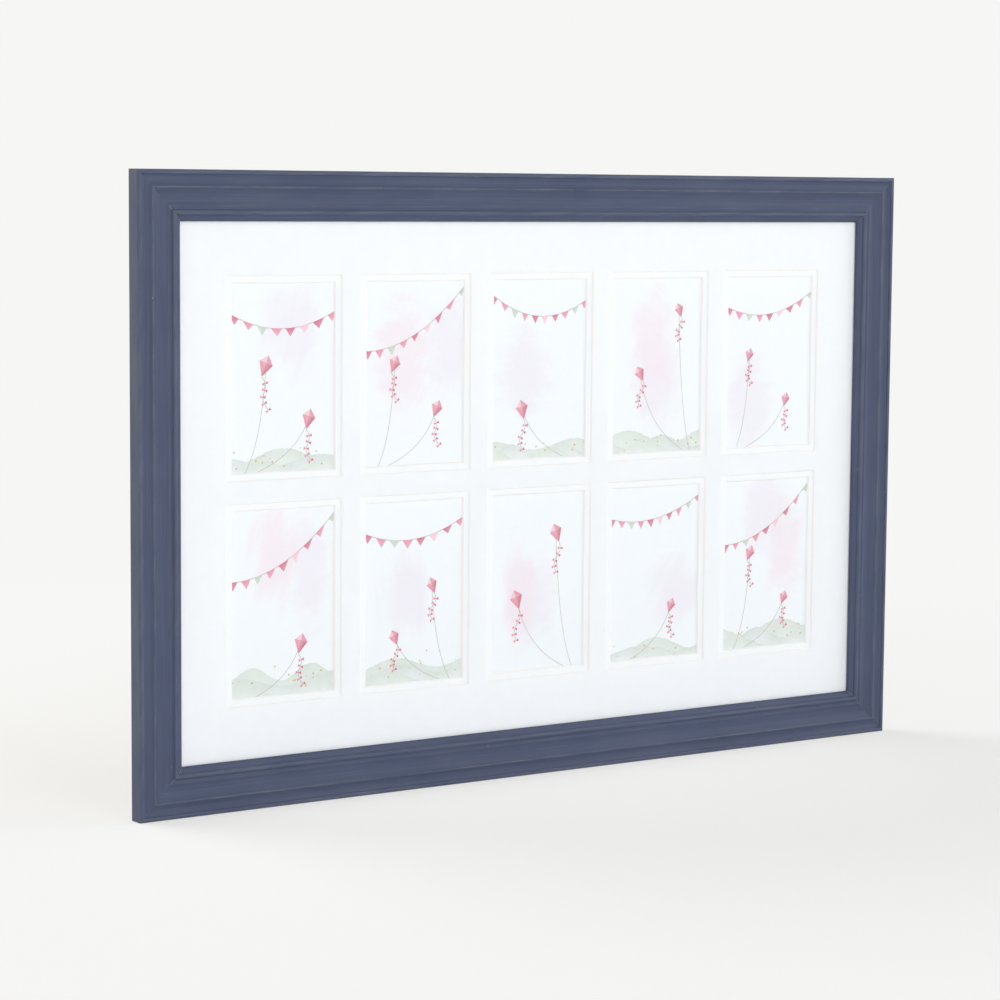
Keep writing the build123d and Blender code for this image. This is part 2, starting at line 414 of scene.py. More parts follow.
    def piece(
        self,
        node: str,
        kind: str,
        finishes: Sequence[Material],
        slot: str,
        body: str = BODY,
        sharp_angle: float = 38.0,
    ) -> None:
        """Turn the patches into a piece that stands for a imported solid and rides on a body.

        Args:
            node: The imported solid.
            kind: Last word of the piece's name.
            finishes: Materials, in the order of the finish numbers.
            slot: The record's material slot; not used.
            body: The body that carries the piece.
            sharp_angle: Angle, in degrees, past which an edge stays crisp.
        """
        name = f"{node}_{kind}"
        mesh = self.mesh(name, True, sharp_angle)
        for material in finishes:
            mesh.materials.append(material)
        piece = add_object(name, mesh)
        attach(piece, body)
        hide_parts(node)
        LOG.info("%s: %d faces on %s", name, len(mesh.polygons), body)


class Bench:
    """Shader nodes of one material or world, added and linked by short calls."""

    def __init__(self, owner: Any) -> None:
        """Start an empty node tree."""
        owner.use_nodes = True
        self.tree = owner.node_tree
        self.tree.nodes.clear()

    def add(self, kind: str, inputs: dict[Any, Any] | None = None, **settings: Any) -> Node:
        """Add a node.

        Args:
            kind: Node type after the words ShaderNode.
            inputs: Value or output socket for each named or numbered input.
            **settings: The node's own options.

        Returns:
            The node.
        """
        node = self.tree.nodes.new("ShaderNode" + kind)
        for key, value in settings.items():
            setattr(node, key, value)
        for key, value in (inputs or {}).items():
            if isinstance(value, NodeSocket):
                self.tree.links.new(value, node.inputs[key])
            else:
                node.inputs[key].default_value = value
        return node

    def place(self) -> NodeSocket:
        """Place on the object, in metres."""
        return self.add("TexCoord").outputs["Object"]

    def grain(self) -> NodeSocket:
        """Place along and across the piece, in tenths of a metre."""
        return self.add("UVMap", uv_map="grain").outputs["UV"]

    def value(self, name: str, output: str = "Fac") -> NodeSocket:
        """Value that the mesh holds at its points."""
        return self.add("Attribute", attribute_name=name).outputs[output]

    def noise(self, where: NodeSocket, scale: Any, detail: float = 4.0, rough: float = 0.55) -> NodeSocket:
        """Cloudy noise of about 0.3 to 0.7.

        Args:
            where: Place in the noise.
            scale: One scale, or one for each direction.
            detail: Number of finer layers.
            rough: How strong the finer layers are.

        Returns:
            The value.
        """
        if isinstance(scale, tuple):
            where = self.add("Mapping", {"Vector": where, "Scale": scale}).outputs[0]
            scale = 1.0
        inputs = {"Vector": where, "Scale": scale, "Detail": detail, "Roughness": rough}
        return self.add("TexNoise", inputs).outputs[0]

    def ramp(
        self, value: NodeSocket, low: float, high: float, start: float = 0.0, end: float = 1.0
    ) -> NodeSocket:
        """Smooth step of a value from start at low to end at high."""
        limits = {"Value": value, "From Min": low, "From Max": high, "To Min": start, "To Max": end}
        return self.add("MapRange", limits, interpolation_type="SMOOTHSTEP").outputs[0]

    def maths(self, operation: str, first: Any, second: Any) -> NodeSocket:
        """Arithmetic on two values."""
        return self.add("Math", {0: first, 1: second}, operation=operation).outputs[0]

    def any_ray(self, kinds: Sequence[str]) -> NodeSocket:
        """1 for a ray of any of the kinds, 0 for others."""
        rays = self.add("LightPath").outputs
        found = rays[kinds[0]]
        for kind in kinds[1:]:
            found = self.maths("MAXIMUM", found, rays[kind])
        return found

    def blend(self, share: Any, first: Any, second: Any) -> NodeSocket:
        """Colour between two colours."""
        return self.add("Mix", {0: share, 6: first, 7: second}, data_type="RGBA").outputs[2]

    def bump(self, height: NodeSocket, depth: float, strength: float, **under: NodeSocket) -> NodeSocket:
        """Normal of a relief of some depth in metres, over an earlier relief given as Normal."""
        inputs = {"Height": height, "Distance": depth, "Strength": strength}
        return self.add("Bump", inputs | under).outputs[0]

    def coat(
        self,
        colour: NodeSocket,
        mark: NodeSocket,
        rough: tuple[float, float],
        relief: NodeSocket,
        specular: float = 0.5,
        metallic: float = 0.0,
    ) -> Node:
        """Add a Principled shader.

        Args:
            colour: Its base colour.
            mark: Noise that the roughness follows.
            rough: Lowest and highest roughness.
            relief: Its normal.
            specular: Strength of the reflection.
            metallic: 1 for metal.

        Returns:
            The shader.
        """
        inputs = {
            "Base Color": colour,
            "Roughness": self.ramp(mark, 0.3, 0.7, *rough),
            "Normal": relief,
            "Specular IOR Level": specular,
            "Metallic": metallic,
        }
        return self.add("BsdfPrincipled", inputs)

    def mix(self, share: NodeSocket, first: Node, second: Node) -> Node:
        """Shader between two shaders."""
        return self.add("MixShader", {0: share, 1: first.outputs[0], 2: second.outputs[0]})

    def output(self, shader: Node, kind: str = "OutputMaterial") -> None:
        """Send a shader to the surface."""
        self.add(kind, {"Surface": shader.outputs[0]})


@dataclass(frozen=True)
class Finish:
    """A finish, which becomes one material."""

    name: str

    def shader(self, bench: Bench) -> Node:
        """Add the nodes that give the finish its look.

        Args:
            bench: Nodes of the material.

        Returns:
            The shader.
        """
        raise NotImplementedError

    def material(self) -> Material:
        """Make the material."""
        material = bpy.data.materials.new(self.name)
        bench = Bench(material)
        bench.output(self.shader(bench))
        return material


@dataclass(frozen=True)
class ChalkPaint(Finish):
    """Brushed chalky paint, rubbed thin along the arrises and chipped here and there; the paler rubbed colour
    on the crests is partly a painted highlight.
    """

    name: str = "chalk_paint"
    base: Colour = linear(63, 72, 98)
    light: Colour = linear(72, 81, 107)
    rubbed_and_highlit: Colour = linear(124, 127, 134)
    chipped: Colour = linear(140, 141, 145)
    brush_lines: Triple = (0.7, 70.0, 1.0)
    brush_depth: float = 0.00006
    speckles: Triple = (60.0, 160.0, 1.0)
    speckle_depth: float = 0.00003

    def shader(self, bench: Bench) -> Node:
        """Mix streaks, rubbed edges that also carry a painted highlight, and chips over the base colour."""
        grain = bench.grain()
        brush = bench.noise(grain, self.brush_lines, 6.0, 0.62)
        cloud = bench.noise(bench.place(), 14.0, 3.0)
        speckle = bench.noise(grain, self.speckles, 5.0, 0.6)
        streaks = bench.maths("ADD", bench.ramp(brush, 0.3, 0.72), bench.ramp(cloud, 0.35, 0.7, -0.2, 0.25))
        colour = bench.blend(streaks, self.base, self.light)
        uneven = bench.ramp(speckle, 0.3, 0.66, 0.55, 1.15)
        # Worn paint and painted highlight: the paler rubbed colour where the rub value is high, which on the
        # crests stands in for their highlight.
        colour = bench.blend(bench.maths("MULTIPLY", bench.value("rub"), uneven), colour, self.rubbed_and_highlit)
        chips = bench.ramp(bench.maths("ADD", bench.value("chip"), speckle), 1.02, 1.12)
        colour = bench.blend(chips, colour, self.chipped)
        relief = bench.bump(brush, self.brush_depth, 0.35)
        relief = bench.bump(speckle, self.speckle_depth, 0.25, Normal=relief)
        return bench.coat(colour, speckle, (0.52, 0.66), relief, 0.32)


@dataclass(frozen=True)
class BareWood(Finish):
    """Sawn softwood with growth lines along the rail, and a mist of paint near the outer edge."""

    name: str = "bare_wood"
    early: Colour = linear(214, 184, 140)
    late: Colour = linear(176, 134, 88)
    mist: Colour = linear(92, 102, 124)
    growth: Triple = (0.35, 26.0, 1.0)
    fibre: Triple = (3.0, 260.0, 1.0)
    fibre_depth: float = 0.00008

    def shader(self, bench: Bench) -> Node:
        """Mix growth lines, fibres and paint mist."""
        grain = bench.grain()
        growth = bench.ramp(bench.noise(grain, self.growth, 3.0, 0.5), 0.42, 0.62, 0.0, 0.75)
        fibre = bench.noise(grain, self.fibre, 5.0, 0.6)
        lines = bench.maths("ADD", growth, bench.ramp(fibre, 0.3, 0.75, 0.0, 0.3))
        colour = bench.blend(lines, self.early, self.late)
        spray = bench.noise(bench.place(), 420.0, 3.0, 0.7)
        cover = bench.ramp(bench.maths("ADD", bench.value("rub"), spray), 0.95, 1.2)
        colour = bench.blend(cover, colour, self.mist)
        return bench.coat(colour, fibre, (0.62, 0.78), bench.bump(fibre, self.fibre_depth, 0.4))


@dataclass(frozen=True)
class MatPaper(Finish):
    """Smooth white facing paper of the mats, with a faint felt texture."""

    name: str = "mat_paper"
    white: Colour = linear(246, 248, 252)
    shade: Colour = linear(245, 247, 251)
    felt_depth: float = 0.00002

    def shader(self, bench: Bench) -> Node:
        """Mottle the white a little and press a felt texture into it."""
        place = bench.place()
        mottle = bench.ramp(bench.noise(place, 90.0), 0.35, 0.68)
        felt = bench.noise(place, 1500.0, 3.0, 0.65)
        colour = bench.blend(mottle, self.white, self.shade)
        return bench.coat(colour, felt, (0.72, 0.86), bench.bump(felt, self.felt_depth, 0.3), 0.25)


@dataclass(frozen=True)
class MatCore(Finish):
    """Cream core of the mat board, open along the bevels, with the plies showing."""

    name: str = "mat_core"
    cream: Colour = linear(251, 248, 247)
    ply: Colour = linear(247, 241, 240)
    plies: Triple = (40.0, 4200.0, 40.0)
    fibre_depth: float = 0.00004

    def shader(self, bench: Bench) -> Node:
        """Band the core by depth and roughen it with fibres."""
        place = bench.place()
        plies = bench.ramp(bench.noise(place, self.plies, 3.0), 0.38, 0.66, 0.0, 0.8)
        fibre = bench.noise(place, 1900.0, 4.0, 0.7)
        colour = bench.blend(plies, self.cream, self.ply)
        return bench.coat(colour, fibre, (0.8, 0.92), bench.bump(fibre, self.fibre_depth, 0.4), 0.2)


@dataclass(frozen=True)
class PrintPaper(Finish):
    """Satin paper whose ink is held at the points of the print."""

    name: str = "print_paper"
    tooth_depth: float = 0.00002

    def shader(self, bench: Bench) -> Node:
        """Show the ink, grained a little as on cold-pressed paper."""
        tooth = bench.noise(bench.place(), 700.0, 4.0, 0.6)
        inputs = {"Value": bench.ramp(tooth, 0.3, 0.7, 0.985, 1.01), "Color": bench.value("ink", "Color")}
        ink = bench.add("HueSaturation", inputs).outputs[0]
        return bench.coat(ink, tooth, (0.48, 0.62), bench.bump(tooth, self.tooth_depth, 0.2), 0.3)


@dataclass(frozen=True)
class ClearGlass(Finish):
    """Thin float glass, clear and polished."""

    name: str = "clear_glass"
    tint: Colour = (0.994, 0.998, 0.997, 1.0)
    ior: float = 1.45

    def shader(self, bench: Bench) -> Node:
        """Refract what is seen through the pane, and let the light of the lamps straight through."""
        glass = bench.add("BsdfGlass", {"Color": self.tint, "Roughness": 0.0, "IOR": self.ior})
        clear = bench.add("BsdfTransparent", {"Color": self.tint})
        return bench.mix(bench.any_ray(LIGHT_RAYS), glass, clear)


@dataclass(frozen=True)
class Hardboard(Finish):
    """Pressed brown fibre board: fine flecks, darker strands and a soft sheen."""

    name: str = "hardboard"
    light: Colour = linear(156, 118, 82)
    dark: Colour = linear(118, 84, 56)
    strand: Colour = linear(84, 58, 38)
    flecks: Triple = (240.0, 60.0, 620.0)
    strands: Triple = (700.0, 60.0, 260.0)
    relief_depth: float = 0.00005

    def shader(self, bench: Bench) -> Node:
        """Lay flecks and strands over a cloudy brown."""
        place = bench.place()
        cloud = bench.ramp(bench.noise(place, 9.0), 0.3, 0.7, 0.1, 0.32)
        fleck = bench.noise(place, self.flecks, 5.0, 0.65)
        cross = bench.noise(place, self.strands, 4.0, 0.6)
        tone = bench.maths("ADD", cloud, bench.ramp(fleck, 0.32, 0.68, 0.0, 0.55))
        colour = bench.blend(tone, self.light, self.dark)
        colour = bench.blend(bench.ramp(cross, 0.6, 0.74, 0.0, 0.55), colour, self.strand)
        relief = bench.bump(bench.maths("ADD", fleck, cross), self.relief_depth, 0.4)
        return bench.coat(colour, fleck, (0.5, 0.66), relief)


@dataclass(frozen=True)
class PlatedSteel(Finish):
    """Zinc-plated steel with cloudy passivation and fine rolling marks."""

    bright: Colour
    dull: Colour
    polish: float
    rolling: Triple = (900.0, 900.0, 5200.0)
    rolling_depth: float = 0.00001

    def shader(self, bench: Bench) -> Node:
        """Cloud the metal between its bright and dull tones."""
        place = bench.place()
        cloud = bench.noise(place, 260.0, 4.0, 0.6)
        colour = bench.blend(bench.ramp(cloud, 0.35, 0.68), self.bright, self.dull)
        relief = bench.bump(bench.noise(place, self.rolling, 3.0), self.rolling_depth, 0.25)
        return bench.coat(colour, cloud, (self.polish, self.polish + 0.16), relief, metallic=1.0)


@dataclass(frozen=True)
class SectionColumns:
    """Chosen points of the moulding's outline, each array with one value a point."""

    inset: Array
    drop: Array
    normal: Array
    girth: Array
    edge: Array
    proud: Array
    painted: Array
    outer: Array
    crests: Array


@dataclass(frozen=True)
class MouldingSection:
    """Section of the rails: how wide each member is and how far it lies behind the lip's front."""

    lip_width: float = 3.4
    outer_cove_width: float = 8.4
    ridge_width: float = 1.3
    inner_cove_width: float = 12.4
    fillet_width: float = 1.5
    quirk_width: float = 1.6
    bead_width: float = 4.5
    slope_width: float = 4.3
    lip_foot_drop: float = 0.95
    outer_cove_sag: float = 1.3
    ridge_drop: float = 0.4
    ridge_round: float = 0.3
    inner_cove_sag: float = 1.6
    fillet_foot_drop: float = 2.2
    fillet_drop: float = 2.0
    quirk_drop: float = 2.25
    bead_bulge: float = 1.725
    slope_top_drop: float = 2.7
    sight_drop: float = 5.75
    slope_crown: float = 0.55
    arris_radius: float = 1.5
    lip_round: float = 0.8
    back_chamfer: float = 0.6
    rabbet_width: float = 6.0
    rabbet_drop: float = 6.65
    back_relief: float = 0.03
    step: float = 0.04
    paint_round: float = 0.12
    flat_step: float = 3.0
    turn_step: float = 12.0
    wear_and_highlight_curvature: float = 1.6
    wear_and_highlight_spread: float = 0.3
    proud_span: float = 2.0
    proud_height: float = 0.8
    thin_paint: tuple = (1.9, 0.1)
    crest_names: tuple = ("arris_top", "lip_side", "ridge_outer", "fillet_inner", "slope_top")

    def corners(self, depth: float) -> dict[str, tuple[float, float, float]]:
        """Named points of the section.

        Args:
            depth: Depth of the rail from the front of the lip to its back.

        Returns:
            Inset, drop and bulge of the run that starts at the point, in order round the section.
        """
        back = depth - self.back_relief
        outer_widths = (self.lip_width, self.outer_cove_width, self.ridge_width, self.inner_cove_width)
        inner_widths = (self.fillet_width, self.quirk_width, self.bead_width, self.slope_width)
        insets = np.cumsum(outer_widths + inner_widths)
        lip, ridge, ridge_end, fillet, fillet_end, bead, bead_end, face = insets
        rabbet = face - self.rabbet_width
        quarter = 1.0 - math.sqrt(0.5)
        return {
            "back_outer": (self.back_chamfer, back, 0.0),
            "back_side": (0.0, back - self.back_chamfer, 0.0),
            "arris_side": (0.0, self.arris_radius, quarter * self.arris_radius),
            "arris_top": (self.arris_radius, 0.0, 0.0),
            "lip_top": (lip - self.lip_round, 0.0, quarter * self.lip_round),
            "lip_side": (lip, self.lip_round, 0.0),
            "lip_foot": (lip, self.lip_foot_drop, -self.outer_cove_sag),
            "ridge_outer": (ridge, self.ridge_drop, self.ridge_round),
            "ridge_inner": (ridge_end, self.ridge_drop, -self.inner_cove_sag),
            "fillet_foot": (fillet, self.fillet_foot_drop, 0.0),
            "fillet_outer": (fillet, self.fillet_drop, 0.0),
            "fillet_inner": (fillet_end, self.fillet_drop, 0.0),
            "quirk_outer": (fillet_end, self.quirk_drop, 0.0),
            "quirk_inner": (bead, self.quirk_drop, self.bead_bulge),
            "slope_top": (bead_end, self.slope_top_drop, self.slope_crown),
            "sight_edge": (face, self.sight_drop, 0.0),
            "rabbet_lip": (face, self.rabbet_drop, 0.0),
            "rabbet_floor": (rabbet, self.rabbet_drop, 0.0),
            "rabbet_foot": (rabbet, back, 0.0),
        }

    def blur(self, ring: Array, width: float) -> Array:
        """Blur values round a closed ring by a bell curve.

        Args:
            ring: Values at the fine step, one row a point.
            width: Width of the bell.

        Returns:
            Values of the same shape.
        """
        reach = int(4.0 * width / self.step)
        bell = np.exp(-0.5 * (np.arange(-reach, reach + 1) * self.step / width) ** 2)
        padded = np.concatenate([ring[-reach:], ring, ring[:reach]])
        columns = padded.reshape(len(padded), -1).T
        soft = [np.convolve(column, bell / bell.sum(), mode="valid") for column in columns]
        return np.stack(soft, axis=-1).reshape(ring.shape)

    def columns(self, depth: float) -> SectionColumns:
        """Choose points of the outline, close together where it turns and further apart on flats.

        Lines and arcs join in a ring, which is softened as by coats of paint. The measure grows with the
        length over flat_step plus the turn over turn_step, and the points are at equal measure. The edge
        value is the convex curvature, so it marks what gets rubbed and what gets a painted highlight.

        Args:
            depth: Depth of the rail.

        Returns:
            The chosen points, with the first repeated at the end.
        """
        corners = self.corners(depth)
        stops = np.array(list(corners.values()))
        runs = zip(stops, np.roll(stops, -1, axis=0))
        ring = np.concatenate([arc(start[:2], end[:2], start[2], self.step) for start, end in runs])
        ring = self.blur(ring, self.paint_round)
        ahead = np.roll(ring, -1, axis=0) - ring
        length = np.hypot(*ahead.T)
        angle = np.arctan2(ahead[:, 1], ahead[:, 0])
        turn = np.angle(np.exp(1j * (angle - np.roll(angle, 1))))
        measure = length / self.flat_step + np.abs(turn) / math.radians(self.turn_step)
        total = np.append(0.0, np.cumsum(measure))
        girth = np.append(0.0, np.cumsum(length))
        where = np.interp(np.linspace(0.0, total[-1], int(total[-1]) + 2), total, girth)

        curvature = np.clip(self.blur(turn / length, self.paint_round), 0.0, None)
        # edge: convex curvature, which marks rubbed paint and the painted highlight on the crests.
        edge = self.blur(np.clip(curvature / self.wear_and_highlight_curvature, 0.0, 1.0), self.wear_and_highlight_spread)
        stand = self.blur(ring[:, 1], self.proud_span) - ring[:, 1]
        tangent = self.blur(ahead / length[:, None], self.paint_round)
        traits = np.column_stack([ring, tangent, edge, np.clip(stand / self.proud_height, 0.0, 1.0)])
        traits = np.concatenate([traits, traits[:1]])
        inset, drop, right, down, edge, proud = (np.interp(where, girth, trait) for trait in traits.T)
        nearest = [np.argmin(np.hypot(*(ring - stop[:2]).T)) for stop in stops]
        marks = dict(zip(corners, girth[nearest]))
        thin_start, thin_end = marks["arris_side"] + np.array(self.thin_paint)
        return SectionColumns(
            inset=inset,
            drop=drop,
            normal=-left_of(join(right, down)),
            girth=where,
            edge=edge,
            proud=proud,
            painted=where < marks["rabbet_floor"],
            outer=smooth_step(thin_start, thin_end, where),
            crests=np.array([marks[name] for name in self.crest_names]),
        )


class RailFinish(IntEnum):
    """Finishes of a rail."""

    PAINT = 0
    WOOD = 1


@dataclass
class Rail:
    """One length of moulding, mitred at both ends, with worn paint, painted highlights on its crests and a
    hairline at each mitre.
    """

    side: Side
    section: MouldingSection
    seed: int
    row_step: float = 1.6
    mitre_steps: tuple = (0.0, 0.08, 0.2, 0.42)
    mitre_reach: float = 0.9
    mitre_depth: float = 0.11
    mitre_width: float = 0.24
    mitre_rub: float = 0.34
    nicks: int = 8
    nick_depth: float = 0.16
    ripple: float = 0.02
    ripple_peak: float = 1.7
    ripple_fade: float = 1.0
    mist_reach: float = 9.0

    def __post_init__(self) -> None:
        """Lay out the grid of places along the rail and round the section.

        A row lies at a share of the half length less the inset, so the ends close on the mitre, and the
        last rows keep fixed distances from it.
        """
        self.rng = np.random.default_rng(self.seed)
        block = Block.of(self.side.node)
        self.columns = self.section.columns(block.size[1])
        length = block.span(self.side.along)
        half = length / 2.0 - self.columns.inset
        core = np.linspace(-1.0, 1.0, int(length / self.row_step))
        ends = self.mitre_reach - np.array(self.mitre_steps)
        share = np.pad(core, len(ends), mode="edge")[:, None]
        shift = np.concatenate([-ends, np.zeros(len(core)), ends[::-1]])[:, None]
        self.along = share * (half - self.mitre_reach) + shift
        self.to_mitre = half - np.abs(self.along)
        self.girth = np.broadcast_to(self.columns.girth, self.along.shape)

    def build(self, paint: Material, wood: Material) -> None:
        """Carry the section along the rail, sunk by nicks, a slight ripple and the groove of the mitres.

        Args:
            paint: Finish of the front and the outer side.
            wood: Finish of the rabbet and the back.
        """
        columns = self.columns
        chips, dents = self.nick_marks()
        groove = self.mitre_depth * np.clip(1.0 - self.to_mitre / self.mitre_width, 0.0, 1.0)
        ripple = self.ripple * (self.ripple_peak + drift(self.rng, self.girth * 2.0, self.along, 90.0))
        ripple = ripple * np.clip(self.girth / self.ripple_fade, 0.0, 1.0)
        sunk = groove + np.where(columns.painted, dents * self.nick_depth + ripple, 0.0)
        inset = columns.inset - columns.normal[:, 0] * sunk
        drop = columns.drop - columns.normal[:, 1] * sunk
        ways = (self.side.along, self.side.inward, Y_AXIS)
        shell = Shell()
        numbers = shell.grid(
            laid(self.side.outer_edge, ways, self.along, inset, drop),
            np.where(columns.painted[:-1], RailFinish.PAINT, RailFinish.WOOD),
            grain=join(self.along, self.girth) / GRAIN_UNIT,
            rub=self.rub(),
            chip=np.maximum(chips, self.open_mitre()),
        )
        shell.cap(numbers[[0, -1], :-1], RailFinish.WOOD)
        shell.piece(self.side.node, "moulding", [paint, wood], "painted_wood")

    def nick_marks(self) -> tuple[Array, Array]:
        """Small knocks on the crests: a sum of bell curves at random places.

        Returns:
            How chipped and how dented each point is, from 0 to 1.
        """
        places = self.rng.uniform(self.along.min() * 0.94, self.along.max() * 0.94, self.nicks)
        crests = self.rng.choice(self.columns.crests, self.nicks)
        lengths = self.rng.uniform(0.9, 2.2, self.nicks)
        widths = self.rng.uniform(0.25, 0.6, self.nicks)
        far = ((self.along[..., None] - places) / lengths) ** 2
        marks = np.exp(-far - ((self.girth[..., None] - crests) / widths) ** 2)
        return marks.max(axis=-1) * 0.75, np.clip(marks.sum(axis=-1), 0.0, 1.0)

    def rub(self) -> Array:
        """How far the paint is rubbed through or lightened as a painted highlight, from 0 to 1, and the paint
        mist on the bare wood.

        The convex, raised edges wear in stretches and are also lightened as a painted highlight, the outer
        side is thin all over, and the mitre shows as a broken line. The mist fades from the outer edge across
        the back.

        Returns:
            Values of the grid's shape.
        """
        columns, girth = self.columns, self.girth
        stretches = 0.55 + 0.45 * drift(self.rng, girth * 9.0, self.along, 60.0)
        thin = 0.5 + 0.5 * drift(self.rng, girth * 4.0, self.along, 140.0)
        broken = np.clip(drift(self.rng, girth, np.sign(self.along) * 30.0, 26.0) + 0.35, 0.0, 1.0)
        mitre = np.clip(1.0 - self.to_mitre / self.mitre_rub, 0.0, 1.0) * broken
        # Wear and painted highlight: raised, convex crests are lightened towards the rubbed colour.
        crest = columns.proud * (0.4 * columns.edge + 0.12) + 0.1 * columns.edge
        rub = crest * np.clip(stretches, 0.1, 1.2) + 0.05 * thin
        rub = rub + columns.outer * (0.12 + 0.13 * thin) + 0.5 * mitre
        mist = 0.7 * smooth_step(columns.girth[-1] - self.mist_reach, columns.girth[-1], girth)
        return np.where(columns.painted, np.clip(rub, 0.0, 1.0), mist)

    def open_mitre(self) -> Array:
        """How chipped the paint is along the mitres: most at the sight edge, in stretches.

        Returns:
            Values of the grid's shape.
        """
        near = np.clip(1.0 - self.to_mitre / self.mitre_reach, 0.0, 1.0)
        inner = smooth_step(0.45, 0.85, self.columns.inset / self.columns.inset.max())
        stretches = 0.62 + 0.3 * np.sin(self.girth / 2.3 + 2.0 * np.sign(self.along))
        return np.where(self.columns.painted, near * stretches * (0.35 + 0.65 * inner), 0.0)


@dataclass(frozen=True)
class Windows:
    """Places of the ten windows, read from the prints behind them."""

    lap: float = 6.35
    reveal: float = 5.0

    @staticmethod
    def node(row: int, column: int) -> str:
        """Name of the print behind a window, both counted from 0."""
        return f"photo_row{row + 1}_{column + 1}"

    def edges(self, grow: float) -> tuple[Array, Array]:
        """Edges of the windows in a mat.

        Args:
            grow: How much larger the window is than the sheet on each side, less than 0 if smaller.

        Returns:
            Left and right of each column, and bottom and top of each row from the lowest.
        """
        columns = [Block.of(self.node(0, column)) for column in range(COLUMNS)]
        rows = [Block.of(self.node(row, 0)) for row in reversed(range(ROWS))]
        across = np.array([(block.low[0] - grow, block.high[0] + grow) for block in columns])
        up = np.array([(block.low[2] - grow, block.high[2] + grow) for block in rows])
        return across, up


class MatFinish(IntEnum):
    """Finishes of a mat."""

    PAPER = 0
    CORE = 1


@dataclass
class Mat:
    """Mat board with ten windows, whose bevelled edges show the core."""

    node: str
    grow: float
    windows: Windows
    bow: float
    seed: int
    lip: float = 0.07
    window_parts: int = 14
    margin_parts: int = 3

    def lines(self, edges: Array, low: float, high: float) -> tuple[Array, Array]:
        """Grid lines along one direction.

        Args:
            edges: Start and end of each window.
            low: Start of the board.
            high: End of the board.

        Returns:
            Places of the lines, and for each space between lines whether it is level with a window.
        """
        stops = np.concatenate([[low], edges.ravel(), [high]])
        level = np.arange(len(stops) - 1) % 2 == 1
        parts = np.where(level, self.window_parts, self.margin_parts)
        runs = [np.linspace(*run, endpoint=False) for run in zip(stops, stops[1:], parts)]
        return np.append(np.concatenate(runs), high), np.repeat(level, parts)

    def build(self, paper: Material, core: Material) -> None:
        """Lay front and back on one grid of lines, and carry the bevel round each window.

        Args:
            paper: Finish of the faces.
            core: Finish of the bevels and the outer edges.
        """
        block = Block.of(self.node)
        rng = np.random.default_rng(self.seed)
        slant = block.size[1] + self.lip
        columns, rows = self.windows.edges(self.grow + slant)
        across, level_columns = self.lines(columns, block.low[0], block.high[0])
        up, level_rows = self.lines(rows, block.low[2], block.high[2])
        solid = ~(level_rows[:, None] & level_columns)
        front = join(across, block.low[1], up[:, None])
        back = front + Y_AXIS * block.size[1]

        shell = Shell()
        for column in columns:
            for row in rows:
                left, right = np.abs(across[:, None] - column).argmin(axis=0)
                low, high = np.abs(up[:, None] - row).argmin(axis=0)
                loop = tuple(rim(numbers) for numbers in np.mgrid[low : high + 1, left : right + 1])
                opening = np.stack([column, row])
                local = (front[loop][:, [0, 2]] - opening.mean(axis=1)) / (np.ptp(opening, axis=1) / 2.0)
                sway = self.sway(local, self.bow * rng.uniform(0.2, 1.0, 4))
                for way, axis in enumerate((0, 2)):
                    front[(*loop, axis)] += sway[:, way]
                    back[(*loop, axis)] += sway[:, way] - local[:, way] * slant
                self.bevel(shell, front[loop], back[loop])
        shell.grid(front, MatFinish.PAPER, keep=solid)
        shell.grid(back, MatFinish.PAPER, keep=solid)
        shell.band(front, back, MatFinish.CORE)
        shell.piece(self.node, "board", [paper, core], "mat_board", sharp_angle=30.0)

    @staticmethod
    def sway(local: Array, pull: Array) -> Array:
        """Bow of a window's four edges into the opening: each follows 1 - t^2 along its length."""
        bow = np.where(local > 0.0, -pull[[0, 2]], pull[[1, 3]])
        on_edge = np.abs(local) > 0.999
        return bow * (1.0 - local[:, ::-1] ** 2) * on_edge

    def bevel(self, shell: Shell, front: Array, back: Array) -> None:
        """Carry the bevel round a window: a small lip of paper, then the slope of the core.

        Args:
            shell: The mat.
            front: Points round the window on the front.
            back: The same points on the back.
        """
        shares = np.array([0.0, self.lip * 0.5, self.lip * 1.6, 0.35, 0.7, 1.0])
        depths = np.array([0.0, self.lip * 0.1, self.lip * 0.8, 0.31, 0.68, 1.0])
        steps = join(shares, depths, shares)[:, None]
        finish = np.repeat([MatFinish.PAPER, MatFinish.CORE], [2, 3])[:, None]
        shell.grid(front + (back - front) * steps, finish, wrap=(0, 1))


class Ink(Enum):
    """Inks of the prints."""

    PAPER = linear(243, 246, 251)
    SAGE = linear(196, 209, 190)
    MOSS = linear(158, 176, 148)
    BLUSH = linear(244, 226, 236)
    LILAC = linear(238, 230, 242)
    PETAL = linear(246, 196, 210)
    ROSE = linear(232, 128, 158)
    CRIMSON = linear(214, 76, 116)
    OCHRE = linear(214, 180, 124)
    TWINE = linear(168, 166, 146)

    def __init__(self, *rgba: float) -> None:
        """Keep the linear colour as an array."""
        self.rgba = np.array(rgba)

    def over_paper(self, cover: Array) -> Array:
        """Colour where the ink covers some share of the paper."""
        return Ink.PAPER.rgba * (1.0 - cover) + self.rgba * cover


class Layer(IntEnum):
    """Layers of ink, from the paper up."""

    PAPER = 0
    HILLS = 1
    DOTS = 4
    TWINE = 5
    FLAGS = 6
    BOWS = 7
    PANELS = 8
    SPARS = 9


